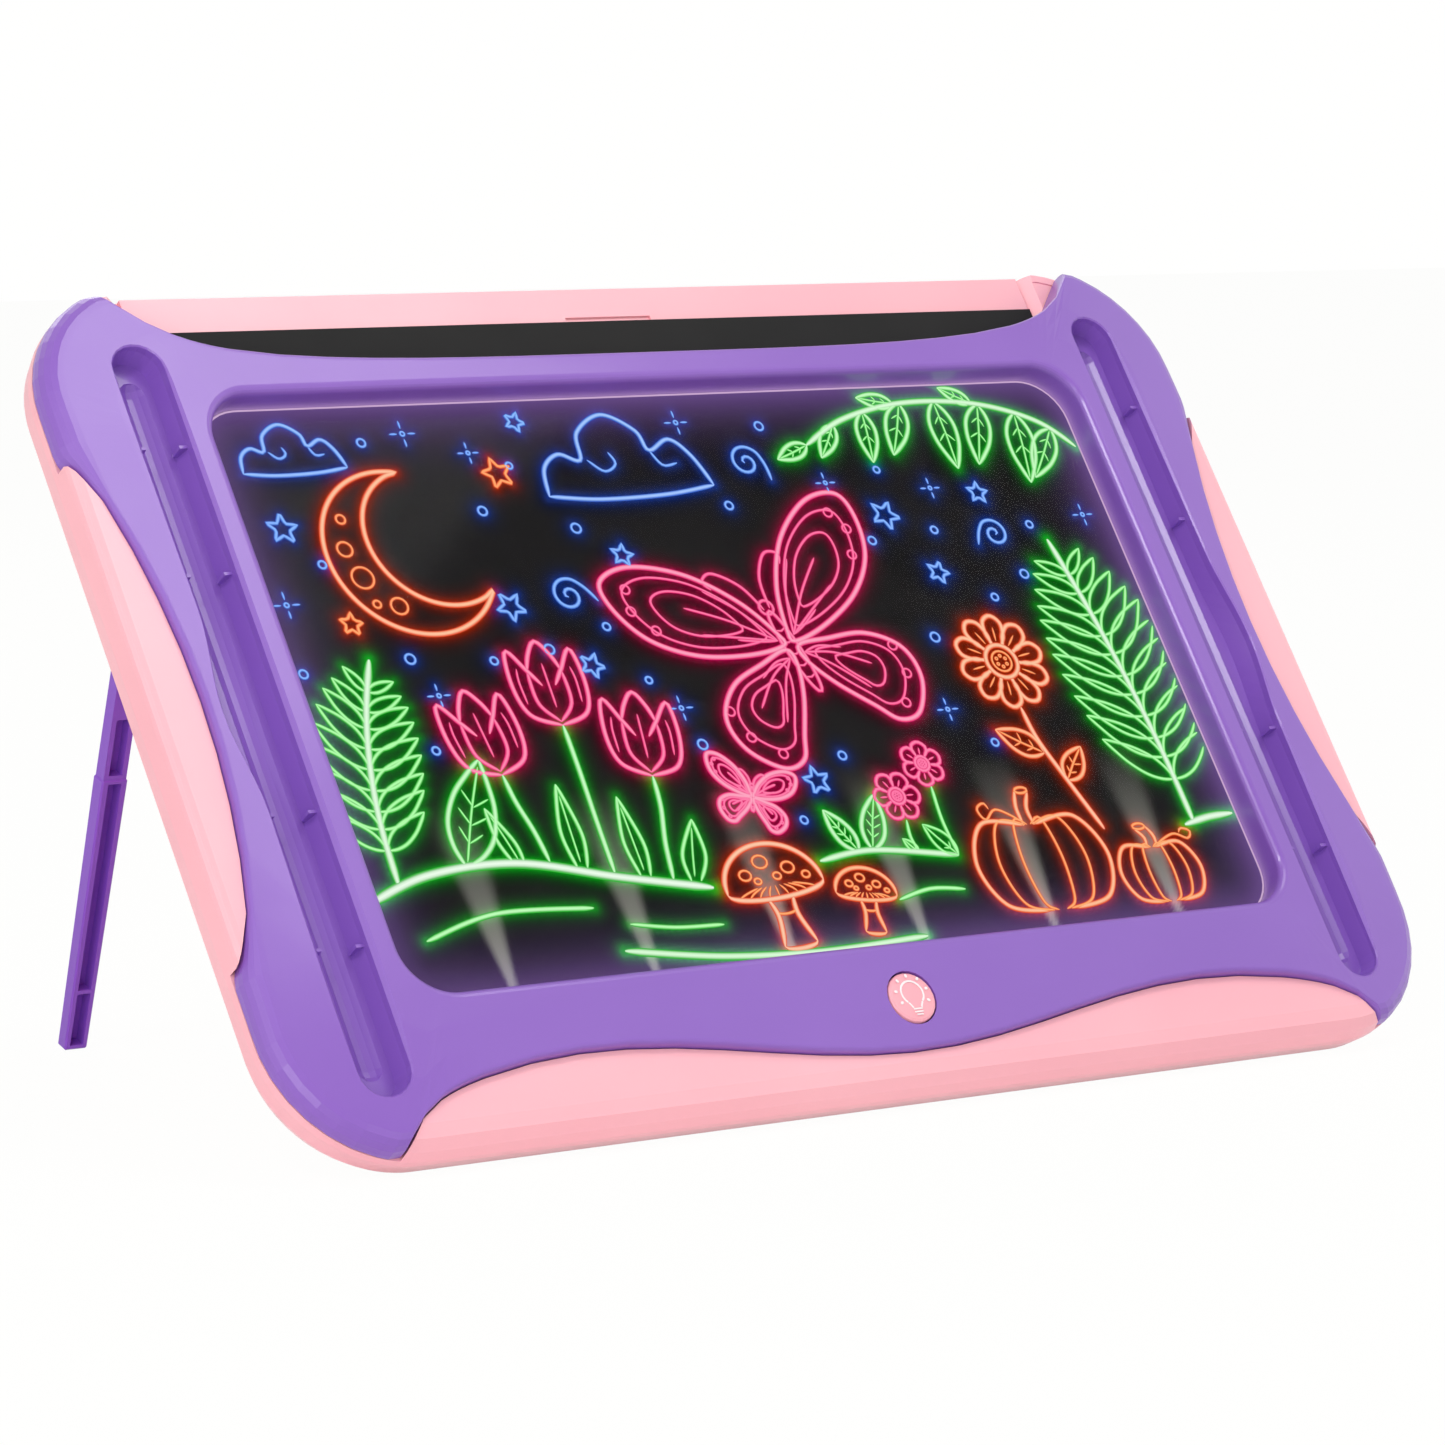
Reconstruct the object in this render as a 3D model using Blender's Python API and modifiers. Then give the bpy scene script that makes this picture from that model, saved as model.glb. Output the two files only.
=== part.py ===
"""Led writing board: an edge-lit drawing panel in a two-shell case that leans on two folding legs.

The board is modelled upright under the empty board_tilt: x to the right seen from the front, y from the
front plane towards the back, z up from the bottom edge. The empty then leans it back onto its legs.
Lengths are in metres and angles in radians.
"""

import math

import bmesh
import bpy
from mathutils import Matrix, Vector

# Overall sizes
BOARD_WIDTH = 0.328
BOARD_HEIGHT = 0.2236
BOARD_DEPTH = 0.0245
CORNER_RADIUS = 0.032
BOARD_LEAN = math.radians(35.8)
LEG_OPEN = math.radians(53.0)

# Walls, clearances and the line where the two shells meet
WALL = 0.002
GAP = 0.0003
OVERRUN = 0.001
SHELL_SEAM = 0.009
REAR_BEND = 0.013
LAND_EDGE_SIDE = 0.0024
LAND_EDGE_BOTTOM = 0.0062
LAND_DEPTH = 0.0037
LAND_RISE_SHARE = 0.03
LAND_REACH = 0.020

# Front frame
WINDOW_BOTTOM = 0.0353
WINDOW_HEAD = 0.008
WINDOW_CORNER = 0.012
WINDOW_DEPTH = 0.0077
LIP_RADIUS = 0.002
CROWN_DROP = 0.0032
FRAME_EDGE = 0.0052
SCOOP_EDGE = 0.0012
SCOOP_FADE = 0.005
TIP_BLEND = 0.003
LEDGE_SIDE = 0.0038
LEDGE_BOTTOM = 0.006
LEDGE_WALL = 0.0012
LEDGE_DEPTH = 0.0096

# Scoops in the outline of the front frame
WAIST_DIP = 0.0123
WAIST_RISE = 0.0007
SCOOP_RADIUS = 0.210
SCOOP_END = 0.0138
SCOOP_FLICK = 0.0032
SCOOP_FLICK_POWER = 14
DIP_X = 0.002
DIP_Z = 0.0086
HUMP_Z = 0.0182
HUMP_END = 0.076
HUMP_FALL_REACH = 0.050
HUMP_FALL = 0.009
HUMP_FALL_POWER = 2
HUMP_FLICK = 0.0045
HUMP_FLICK_POWER = 10
TOP_RAIL_DROP = 0.0253
TOP_TIP_INSET = 0.024
TOP_SWEEP = 0.0087
TOP_SWEEP_POWER = 4
TOP_FLICK = 0.011
TOP_FLICK_POWER = 14

# Pen trays
TRAY_INSET = 0.0245
TRAY_SPACE = 0.0066
TRAY_BOTTOM = 0.013
TRAY_HEAD = 0.019
TRAY_WIDTH = 0.0128
TRAY_DEPTH = 0.0075
TRAY_DRAFT = 0.0012
TRAY_WALL = 0.0015
TRAY_LIP = 0.0004
GROOVE_RADIUS = 0.0039
GROOVE_DEPTH = 0.0093
GROOVE_INSET = 0.0055
GRIP_DROP = 0.0003
GRIP_LENGTH = 0.052
GRIP_REACH = 0.0026
RIB_OFFSET = 0.005
RIB_SPREAD_SHARES = (0.1602, 0.3356)
RIB_WIDTH = 0.0008
RIB_REACH = 0.0009
RIB_TOP = 0.0018
RIB_FOOT = 0.0068

# Drawing panel, sheet and the plate behind it
PANEL_THICKNESS = 0.002
PANEL_RAISE = 0.0004
PANEL_SIDE = 0.0035
PANEL_FOOT = 0.0025
SHEET_LAP = 0.005
SHEET_DROP = 0.0103
SHEET_THICKNESS = 0.0007
SHELF_THICKNESS = 0.001
PLATE_LAP = 0.0005
PLATE_THICKNESS = 0.0012
PLATE_CLEAR = 0.0004
NOTCH_X = 0.0012
NOTCH_WIDTH = 0.025
NOTCH_DROP = 0.0084
NOTCH_HEIGHT = 0.010
NOTCH_DEPTH = 0.0006
SLOT_FLARE = 0.0037
POST_RADIUS = 0.003
POST_SPREAD = 0.080
POST_LOW = 0.060
POST_MIDDLE = 0.120
POST_DROP = 0.0336

# Light strip
LED_COUNT = 6
LED_END = 0.00975
LED_WIDTH = 0.003
LED_HEIGHT = 0.0016
LED_DEPTH = 0.0016
LED_BOARD_END = 0.0205
LED_BOARD_THICKNESS = 0.001
LED_BOARD_WIDTH = 0.002

# Button, switch and circuit board
BUTTON_X = 0.0028
BUTTON_Z = 0.0208
BUTTON_RADIUS = 0.0064
BUTTON_PROUD = 0.0006
BUTTON_EDGE = 0.0007
BUTTON_FLANGE_THICKNESS = 0.0012
BUTTON_TRAVEL = 0.001
COLLAR_DEPTH = 0.0055
COLLAR_WALL = 0.0014
SWITCH_SIZE = 0.006
SWITCH_HEIGHT = 0.0031
PLUNGER_RADIUS = 0.0016
PLUNGER_SUNK = 0.0004
BOARD_WIDE = 0.044
BOARD_TALL = 0.018
BOARD_LOW = 0.0095
BOARD_FRONT = 0.0123
BOARD_THICKNESS = 0.0012
BOARD_SCREW_X = 0.0175
BOARD_SCREW_Z = 0.0135
BOARD_POST_RADIUS = 0.0025
CHIP_X = -0.012
CHIP_Z = 0.022
CHIP_WIDTH = 0.006
CHIP_TALL = 0.004
CHIP_HEIGHT = 0.0012

# Batteries, contacts and their cover
CELL_RADIUS = 0.00525
CELL_LENGTH = 0.0435
CELL_NUB_RADIUS = 0.0019
CELL_NUB = 0.001
CELL_COUNT = 3
CELL_PITCH = 0.0113
CELL_LOW = 0.0477
SPRING_ROOM = 0.0062
POCKET_WALL = 0.0017
POCKET_FLOOR = 0.0012
CONTACT_THICKNESS = 0.0004
CONTACT_SIZE = 0.0085
SPRING_RADIUS = 0.0027
SPRING_WIRE = 0.00035
SPRING_TURNS = 4
SPRING_TAPER_SHARE = 0.3
COVER_WIDTH = 0.062
COVER_LOW = 0.037
COVER_HIGH = 0.093
COVER_THICKNESS = 0.0013
COVER_SUNK = 0.0002
COVER_RIM = 0.003
COVER_BACKING = 0.0054
COVER_CUP_RADIUS = 0.0045
COVER_CUP_DEPTH = 0.0019
COVER_SCREW_Z = 0.0865

# Screws
SCREW_RADIUS = 0.001
SCREW_HEAD_RADIUS = 0.0022
SCREW_HEAD = 0.0011
SCREW_LENGTH = 0.012
SMALL_SCREW_LENGTH = 0.0055
COVER_SCREW_LENGTH = 0.008
SCREW_CLEAR = 0.00015
CASE_SCREW_INSET = 0.0115
CASE_SCREW_LOW = 0.030
CASE_SCREW_DROP = 0.0306
CASE_SCREW_SPREAD = 0.070
CASE_SCREW_FOOT = 0.0228
CASE_BOSS_RADIUS = 0.0035
CASE_POST_RADIUS = 0.003
CASE_BOSS_FRONT = 0.0103
CASE_HEAD_DEPTH = 0.0175

# Legs
LEG_INSET = 0.044
LEG_WIDTH = 0.007
LEG_DEPTH = 0.0047
LEG_TAPER = 0.0004
LEG_FLANGE = 0.0017
LEG_WEB = 0.0012
LEG_STEP = 0.0715
LEG_STEP_IN = 0.0004
LEG_RIB_Z = 0.0155
LEG_RIB = 0.001
LEG_NECK_SLOT = 0.0155
LEG_NECK_SOLID = 0.014
LEG_KNUCKLE = 0.0028
LEG_PIVOT_DROP = 0.0176
LEG_PIN_RADIUS = 0.0011
LEG_PIN_LENGTH = 0.0115
LEG_PIN_CLEAR = 0.0002
LEG_SIDE_CLEAR = 0.0006
LEG_SUNK = 0.0006
RECESS_WALL = 0.0018
RECESS_FOOT = 0.012
RECESS_HEAD = 0.0004

# Wires, whose routes are chosen by hand: x, y, z of each bend
WIRE_RADIUS = 0.0006
LED_WIRE_RADIUS = 0.00045
WIRE_HOLE_RADIUS = 0.0009
RED_WIRE_ROUTE = ((-0.0268, 0.0172, 0.0477), (-0.0300, 0.0172, 0.0477), (-0.0345, 0.0172, 0.0455),
                  (-0.0370, 0.0172, 0.0380), (-0.0345, 0.0170, 0.0290), (-0.0270, 0.0168, 0.0235),
                  (-0.0170, 0.0166, 0.0215), (-0.0115, 0.0157, 0.0212), (-0.0100, 0.0138, 0.0212))
BLACK_WIRE_ROUTE = ((-0.0268, 0.0172, 0.0703), (-0.0310, 0.0172, 0.0703), (-0.0385, 0.0172, 0.0670),
                    (-0.0415, 0.0172, 0.0560), (-0.0400, 0.0172, 0.0370), (-0.0350, 0.0172, 0.0240),
                    (-0.0250, 0.0168, 0.0185), (-0.0150, 0.0166, 0.0172), (-0.0105, 0.0157, 0.0170),
                    (-0.0090, 0.0138, 0.0170))
LED_WIRE_XS = (0.0085, 0.0115)
LED_WIRE_NAMES = ("led_wire_red", "led_wire_black")
LED_WIRE_GATE = 0.008

# Mesh density
SIDE_STEPS = 18
RISE_STEPS = 10
FAN_NEAR = math.radians(2.8)
FAN_FILL = 8
FAN_REST = 5
GRIP_STEPS = 12
END_STEPS = 10
ROUND_STEPS = 16
FINE_ROUND_STEPS = 24
PIN_STEPS = 12

# Colours: red, green, blue, then roughness and metallic value
PURPLE = (0.305, 0.175, 0.560, 0.35, 0.0)
PINK = (0.985, 0.470, 0.520, 0.38, 0.0)
CLEAR = (0.900, 0.930, 0.960, 0.05, 0.0)
BLACK = (0.025, 0.024, 0.025, 0.55, 0.0)
BOARD_GREEN = (0.030, 0.190, 0.075, 0.50, 0.0)
BOARD_WHITE = (0.820, 0.830, 0.800, 0.50, 0.0)
LED_WHITE = (0.950, 0.920, 0.780, 0.30, 0.0)
STEEL = (0.560, 0.570, 0.580, 0.28, 1.0)
CELL_GREY = (0.180, 0.190, 0.210, 0.35, 0.6)
CHIP_BLACK = (0.020, 0.020, 0.022, 0.45, 0.0)
WIRE_RED = (0.560, 0.030, 0.025, 0.45, 0.0)
WIRE_BLACK = (0.030, 0.030, 0.032, 0.45, 0.0)

# Places worked out from the sizes above
HALF_WIDTH = BOARD_WIDTH / 2
TRAY_X = HALF_WIDTH - TRAY_INSET
TRAY_TOP = BOARD_HEIGHT - TRAY_HEAD
TOP_RAIL_Z = BOARD_HEIGHT - TOP_RAIL_DROP
TOP_TIP_X = HALF_WIDTH - TOP_TIP_INSET
WINDOW_WIDTH = 2 * (TRAY_X - TRAY_WIDTH / 2 - TRAY_SPACE)
WINDOW_TOP = TOP_RAIL_Z - WINDOW_HEAD
SIDE_RAIL = HALF_WIDTH - WINDOW_WIDTH / 2
WAIST_X = HALF_WIDTH - WAIST_DIP
WAIST_Z = BOARD_HEIGHT / 2 + WAIST_RISE
SCOOP_REACH = BOARD_HEIGHT / 2 - CORNER_RADIUS - SCOOP_END
HUMP_REACH = HALF_WIDTH - HUMP_END
GRIP_Z = (TRAY_BOTTOM + TRAY_TOP) / 2 - GRIP_DROP
RIB_Z = (TRAY_BOTTOM + TRAY_TOP) / 2 + RIB_OFFSET
RIB_SPREADS = tuple(share * (TRAY_TOP - TRAY_BOTTOM) for share in RIB_SPREAD_SHARES)
LEDGE_FRONT = WINDOW_DEPTH - LEDGE_WALL
BUTTON_FLANGE = BUTTON_RADIUS + 2 * GAP
PANEL_RIM = WINDOW_DEPTH + GAP
PANEL_FRONT = PANEL_RIM - PANEL_RAISE
PANEL_BACK = PANEL_FRONT + PANEL_THICKNESS
SHEET_WIDTH = WINDOW_WIDTH + 2 * SHEET_LAP
SHEET_TOP = BOARD_HEIGHT - SHEET_DROP
PLATE_WIDTH = SHEET_WIDTH + 2 * PLATE_LAP
NOTCH_TOP = BOARD_HEIGHT - NOTCH_DROP
SHEET_FRONT = PANEL_BACK + GAP
SHEET_BACK = SHEET_FRONT + SHEET_THICKNESS
PLATE_FRONT = SHEET_BACK + PLATE_CLEAR
PLATE_BACK = PLATE_FRONT + PLATE_THICKNESS
POST_HIGH = BOARD_HEIGHT - POST_DROP
PLATE_POSTS = ((-POST_SPREAD, POST_LOW), (POST_SPREAD, POST_LOW), (-POST_SPREAD, POST_HIGH),
               (POST_SPREAD, POST_HIGH), (0, POST_MIDDLE), (0, POST_HIGH))
LEDGE_LOW = WINDOW_BOTTOM - LEDGE_BOTTOM
LED_BOARD_LENGTH = WINDOW_WIDTH - 2 * LED_BOARD_END
LED_PITCH = (LED_BOARD_LENGTH - 2 * LED_END) / (LED_COUNT - 1)
LED_BOARD_LOW = LEDGE_LOW + GAP
LED_LOW = LED_BOARD_LOW + LED_BOARD_THICKNESS + GAP
SHELF_LOW = LEDGE_LOW + 2 * GAP
SHEET_LOW = SHELF_LOW + SHELF_THICKNESS + GAP
PLATE_HIGH = BOARD_HEIGHT - GAP
REAR_INSIDE = BOARD_DEPTH - WALL
BOARD_BACK = BOARD_FRONT + BOARD_THICKNESS
POCKET_WIDTH = CELL_LENGTH + CELL_NUB + SPRING_ROOM + GAP + 2 * (CONTACT_THICKNESS + 2 * GAP)
POCKET_LOW = CELL_LOW - CELL_PITCH / 2 - GAP
POCKET_HIGH = CELL_LOW + (CELL_COUNT - 0.5) * CELL_PITCH + GAP
CELL_Y = PLATE_BACK + GAP / 2 + CELL_RADIUS
CASE_SCREW_SIDE = HALF_WIDTH - CASE_SCREW_INSET
CASE_SCREW_HIGH = BOARD_HEIGHT - CASE_SCREW_DROP
CASE_SCREWS = ((-CASE_SCREW_SIDE, CASE_SCREW_LOW), (CASE_SCREW_SIDE, CASE_SCREW_LOW),
               (-CASE_SCREW_SIDE, CASE_SCREW_HIGH), (CASE_SCREW_SIDE, CASE_SCREW_HIGH),
               (-CASE_SCREW_SPREAD, CASE_SCREW_FOOT), (CASE_SCREW_SPREAD, CASE_SCREW_FOOT))
LEG_X = HALF_WIDTH - LEG_INSET
LEG_PIVOT_Z = BOARD_HEIGHT - LEG_PIVOT_DROP
LEG_Y = BOARD_DEPTH - LEG_SUNK - LEG_DEPTH / 2
RECESS_FLOOR = LEG_Y - LEG_KNUCKLE - GAP
RECESS_TOP = LEG_PIVOT_Z + LEG_KNUCKLE + RECESS_HEAD
RECESS_HALF = LEG_WIDTH / 2 + LEG_SIDE_CLEAR

PARTS = "led_writing_board"
CUTTERS = "cutters"


def clear_scene():
    for thing in list(bpy.data.objects):
        bpy.data.objects.remove(thing, do_unlink=True)
    for group in list(bpy.data.collections):
        bpy.data.collections.remove(group)


def make_group(name):
    group = bpy.data.collections.new(name)
    bpy.context.scene.collection.children.link(group)
    return group


def material(name, look):
    red, green, blue, roughness, metallic = look
    finish = bpy.data.materials.get(name) or bpy.data.materials.new(name)
    finish.use_nodes = True
    shader = finish.node_tree.nodes["Principled BSDF"]
    shader.inputs["Base Color"].default_value = (red, green, blue, 1.0)
    shader.inputs["Roughness"].default_value = roughness
    shader.inputs["Metallic"].default_value = metallic
    finish.diffuse_color = (red, green, blue, 1.0)
    return finish


def place(thing, group, parent, look=None):
    """Link an object, hang it under its parent and give it its material; cutters stay out of renders."""
    bpy.data.collections[group].objects.link(thing)
    thing.parent = parent
    if look:
        thing.data.materials.append(material(look[0], look[1]))
    if group == CUTTERS:
        thing.hide_render = True
        thing.display_type = "WIRE"
    return thing


def from_bmesh(name, shape, group, parent, look=None, smooth=math.radians(35)):
    bmesh.ops.recalc_face_normals(shape, faces=shape.faces)
    mesh = bpy.data.meshes.new(name)
    shape.to_mesh(mesh)
    shape.free()
    mesh.shade_smooth()
    mesh.set_sharp_from_angle(angle=smooth)
    return place(bpy.data.objects.new(name, mesh), group, parent, look)


def add_box(shape, low, high):
    middle = [(a + b) / 2 for a, b in zip(low, high)]
    size = [b - a for a, b in zip(low, high)]
    turn = Matrix.Translation(middle) @ Matrix.Diagonal((*size, 1.0))
    bmesh.ops.create_cube(shape, size=1.0, matrix=turn)


def add_rod(shape, radius, start, end, steps=ROUND_STEPS):
    start, end = Vector(start), Vector(end)
    turn = (end - start).to_track_quat("Z", "Y").to_matrix().to_4x4()
    bmesh.ops.create_cone(shape, cap_ends=True, segments=steps, radius1=radius, radius2=radius,
                          depth=(end - start).length, matrix=Matrix.Translation((start + end) / 2) @ turn)


def add_loft(shape, rings, joined=False):
    """Skin a row of rings with equal counts; the ends are capped unless the last ring joins the first."""
    rows = [[shape.verts.new(point) for point in ring] for ring in rings]
    pairs = list(zip(rows, rows[1:]))
    if joined:
        pairs.append((rows[-1], rows[0]))
    for one, other in pairs:
        for i in range(len(one)):
            j = (i + 1) % len(one)
            shape.faces.new((one[i], one[j], other[j], other[i]))
    if not joined:
        shape.faces.new(rows[0])
        shape.faces.new(rows[-1][::-1])


def boolean(target, cutter, kind="DIFFERENCE"):
    change = target.modifiers.new(f"{kind.lower()}_{cutter.name}", "BOOLEAN")
    change.operation = kind
    change.solver = "EXACT"
    change.object = cutter


def turned(name, profile, steps, group, parent, look=None):
    """Turn a profile of (radius, height) points, top to bottom, about the object's z axis."""
    mesh = bpy.data.meshes.new(name)
    points = [(radius, 0, height) for radius, height in profile]
    mesh.from_pydata(points, [(i, i + 1) for i in range(len(points) - 1)], [])
    thing = place(bpy.data.objects.new(name, mesh), group, parent, look)
    screw = thing.modifiers.new("turned", "SCREW")
    screw.axis = "Z"
    screw.steps = steps
    screw.render_steps = steps
    screw.use_merge_vertices = True
    screw.merge_threshold = 0.00001
    return thing


def facing_back(thing, x, y, z):
    """Stand a turned piece with its top towards the back of the board."""
    thing.location = (x, y, z)
    thing.rotation_euler = (-math.pi / 2, 0, 0)
    return thing


def facing_front(thing, x, y, z):
    thing.location = (x, y, z)
    thing.rotation_euler = (math.pi / 2, 0, 0)
    return thing


# Outline of the front frame, as a level that is negative inside and positive outside


def smooth_max(a, b, blend):
    near = max(blend - abs(a - b), 0) / blend
    return max(a, b) + near * near * blend / 4


def box_level(x, z, half_x, low, high, radius):
    across = abs(x) - half_x + radius
    along = abs(z - (low + high) / 2) - (high - low) / 2 + radius
    return math.hypot(max(across, 0), max(along, 0)) + min(max(across, along), 0) - radius


def case_level(x, z):
    return box_level(x, z, HALF_WIDTH, 0, BOARD_HEIGHT, CORNER_RADIUS)


def side_scoop_level(x, z):
    away = abs(z - WAIST_Z)
    flick = SCOOP_FLICK * min(away / SCOOP_REACH, 2) ** SCOOP_FLICK_POWER
    return abs(x) - WAIST_X - away ** 2 / (2 * SCOOP_RADIUS) - flick


def bottom_edge(x):
    """Height of the frame's lower edge: a dip under the button, a hump each side, then down to the corners."""
    away = abs(x - DIP_X)
    if away < HUMP_REACH:
        return DIP_Z + (HUMP_Z - DIP_Z) * (1 - math.cos(math.pi * away / HUMP_REACH)) / 2
    share = (away - HUMP_REACH) / HUMP_FALL_REACH
    return HUMP_Z - HUMP_FALL * share ** HUMP_FALL_POWER - HUMP_FLICK * share ** HUMP_FLICK_POWER


def top_edge(x):
    """Height of the frame's upper edge, which sweeps up and then flicks to the tips."""
    share = abs(x) / TOP_TIP_X
    return TOP_RAIL_Z + TOP_SWEEP * share ** TOP_SWEEP_POWER + TOP_FLICK * share ** TOP_FLICK_POWER


def frame_level(x, z, spill=0.0):
    level = smooth_max(case_level(x, z) - spill, side_scoop_level(x, z), TIP_BLEND)
    level = smooth_max(level, bottom_edge(x) - z, TIP_BLEND)
    return smooth_max(level, z - top_edge(x), TIP_BLEND)


def room_level(x, z):
    """The frame's outline, which runs past the case at the corners."""
    return frame_level(x, z, 2 * OVERRUN)


WINDOW_ACROSS = WINDOW_WIDTH / 2 - WINDOW_CORNER
WINDOW_CORNERS = ((WINDOW_ACROSS, WINDOW_BOTTOM + WINDOW_CORNER), (WINDOW_ACROSS, WINDOW_TOP - WINDOW_CORNER),
                  (-WINDOW_ACROSS, WINDOW_TOP - WINDOW_CORNER), (-WINDOW_ACROSS, WINDOW_BOTTOM + WINDOW_CORNER))


def along_ray(start, way, level, offset=0.0):
    """Where a ray from inside the outline crosses the level."""
    inside, outside = 0.0, BOARD_WIDTH
    for _ in range(40):
        middle = (inside + outside) / 2
        if level(start[0] + way[0] * middle, start[1] + way[1] * middle) < offset:
            inside = middle
        else:
            outside = middle
    return (start[0] + way[0] * inside, start[1] + way[1] * inside)


def leading_edge(x, z):
    """Which of the edges bounds the frame here: its top or bottom edge, a side scoop, or the case's corner."""
    edge = max(bottom_edge(x) - z, z - top_edge(x))
    levels = ((edge, "edge"), (side_scoop_level(x, z), "scoop"), (case_level(x, z), "corner"))
    return max(levels)[1]


def fan_angles(turn):
    """Directions of the rays from a window corner, close together at the frame's tip and at the scoop's end."""
    corner = WINDOW_CORNERS[turn]
    across = math.copysign(1, corner[0])
    up = 1 if turn in (1, 2) else -1

    def leads(angle):
        way = (across * math.cos(angle), up * math.sin(angle))
        return leading_edge(*along_ray(corner, way, frame_level))

    def change(low, high, test):
        for _ in range(20):
            middle = (low + high) / 2
            if test(leads(middle)):
                high = middle
            else:
                low = middle
        return high

    tip = change(0, math.pi / 2, lambda lead: lead == "edge")
    end = change(0, tip, lambda lead: lead != "scoop")
    end = max(end, 2 * FAN_NEAR)
    tip = min(max(tip, end + 4 * FAN_NEAR), math.pi / 2 - 5 * FAN_NEAR)
    before, after = tip - 2 * FAN_NEAR, tip + 3 * FAN_NEAR
    fill_start = end + FAN_NEAR
    marks = [0, end - FAN_NEAR, end]
    marks += [fill_start + (before - fill_start) * i / FAN_FILL for i in range(FAN_FILL)]
    marks += [before, tip - FAN_NEAR, tip, tip + FAN_NEAR]
    marks += [after + (math.pi / 2 - after) * i / FAN_REST for i in range(FAN_REST + 1)]
    if turn % 2:
        return marks[:-1]
    return [math.pi / 2 - mark for mark in reversed(marks)][:-1]


FANS = [fan_angles(turn) for turn in range(4)]


def rays():
    """Start and direction of each ray that fans out from the window to the outline, anticlockwise."""
    fan = []
    for turn, corner in enumerate(WINDOW_CORNERS):
        before = WINDOW_CORNERS[turn - 1]
        straight = SIDE_STEPS if turn % 2 == 0 else RISE_STEPS
        angle = math.pi / 2 * (turn - 1)
        for i in range(straight):
            share = i / straight
            start = [a + (b - a) * share for a, b in zip(before, corner)]
            fan.append((start, (math.cos(angle), math.sin(angle))))
        for mark in FANS[turn]:
            fan.append((corner, (math.cos(angle + mark), math.sin(angle + mark))))
    return fan


RAYS = rays()


def outline(offset=0.0):
    """Where each ray crosses the outline grown by the offset."""
    return [along_ray(start, way, frame_level, offset) for start, way in RAYS]


def box_ring(half_x, low, high, radius):
    """A rounded rectangle with as many points as there are rays."""
    centres = ((half_x - radius, low + radius), (half_x - radius, high - radius),
               (-half_x + radius, high - radius), (-half_x + radius, low + radius))
    points = []
    for turn, centre in enumerate(centres):
        before = centres[turn - 1]
        straight = SIDE_STEPS if turn % 2 == 0 else RISE_STEPS
        angle = math.pi / 2 * (turn - 1)
        edge = (radius * math.cos(angle), radius * math.sin(angle))
        for i in range(straight):
            share = i / straight
            points.append(tuple(a + (b - a) * share + e for a, b, e in zip(before, centre, edge)))
        for mark in FANS[turn]:
            bend = angle + mark
            points.append((centre[0] + radius * math.cos(bend), centre[1] + radius * math.sin(bend)))
    return points


def window_ring(grow):
    return box_ring(WINDOW_WIDTH / 2 + grow, WINDOW_BOTTOM - grow, WINDOW_TOP + grow, WINDOW_CORNER + grow)


def ledge_ring(grow):
    return box_ring(WINDOW_WIDTH / 2 + LEDGE_SIDE + grow, LEDGE_LOW - grow, WINDOW_TOP + LEDGE_SIDE + grow,
                    WINDOW_CORNER + grow)


def case_ring(inset):
    return box_ring(HALF_WIDTH - inset, inset, BOARD_HEIGHT - inset, CORNER_RADIUS - inset)


def at_depth(points, depth):
    return [(x, depth, z) for x, z in points]


def crown(x, z):
    """How far the front face falls back from the lip of the window towards the edge of the case."""
    away = box_level(x, z, WINDOW_WIDTH / 2 + LIP_RADIUS, WINDOW_BOTTOM - LIP_RADIUS, WINDOW_TOP + LIP_RADIUS,
                     WINDOW_CORNER + LIP_RADIUS)
    share = min(max(away / SIDE_RAIL, 0), 1)
    return CROWN_DROP * share ** 2


def between(one, other, share):
    return [tuple(a + (b - a) * share for a, b in zip(p, q)) for p, q in zip(one, other)]


def edge_radii(points):
    """The frame's edge is fully rounded on the case's corners and crisp in the scoops."""
    radii = []
    for x, z in points:
        share = min(max(1 + case_level(x, z) / SCOOP_FADE, 0), 1)
        share = share * share * (3 - 2 * share)
        radii.append(SCOOP_EDGE + (FRAME_EDGE - SCOOP_EDGE) * share)
    return radii


def inset_along_rays(points, amounts):
    return [(x - way[0] * a, z - way[1] * a) for (x, z), (_, way), a in zip(points, RAYS, amounts)]


def crowned(points, below=0.0):
    return [(x, crown(x, z) + below, z) for x, z in points]


def edge_rings(points, radii, inset, angles):
    """Rings that round the frame's edge: at angle 0 on the side wall, at a right angle on the face."""
    inner = inset_along_rays(points, radii)
    depths = [crown(x, z) for x, z in inner]
    rings = []
    for angle in angles:
        reach = [inset + max(r - inset, 0) * (1 - math.cos(angle)) for r in radii]
        flat = inset_along_rays(points, reach)
        rings.append([(x, depth + inset + max(r - inset, 0) * (1 - math.sin(angle)), z)
                      for (x, z), r, depth in zip(flat, radii, depths)])
    return rings


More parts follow.
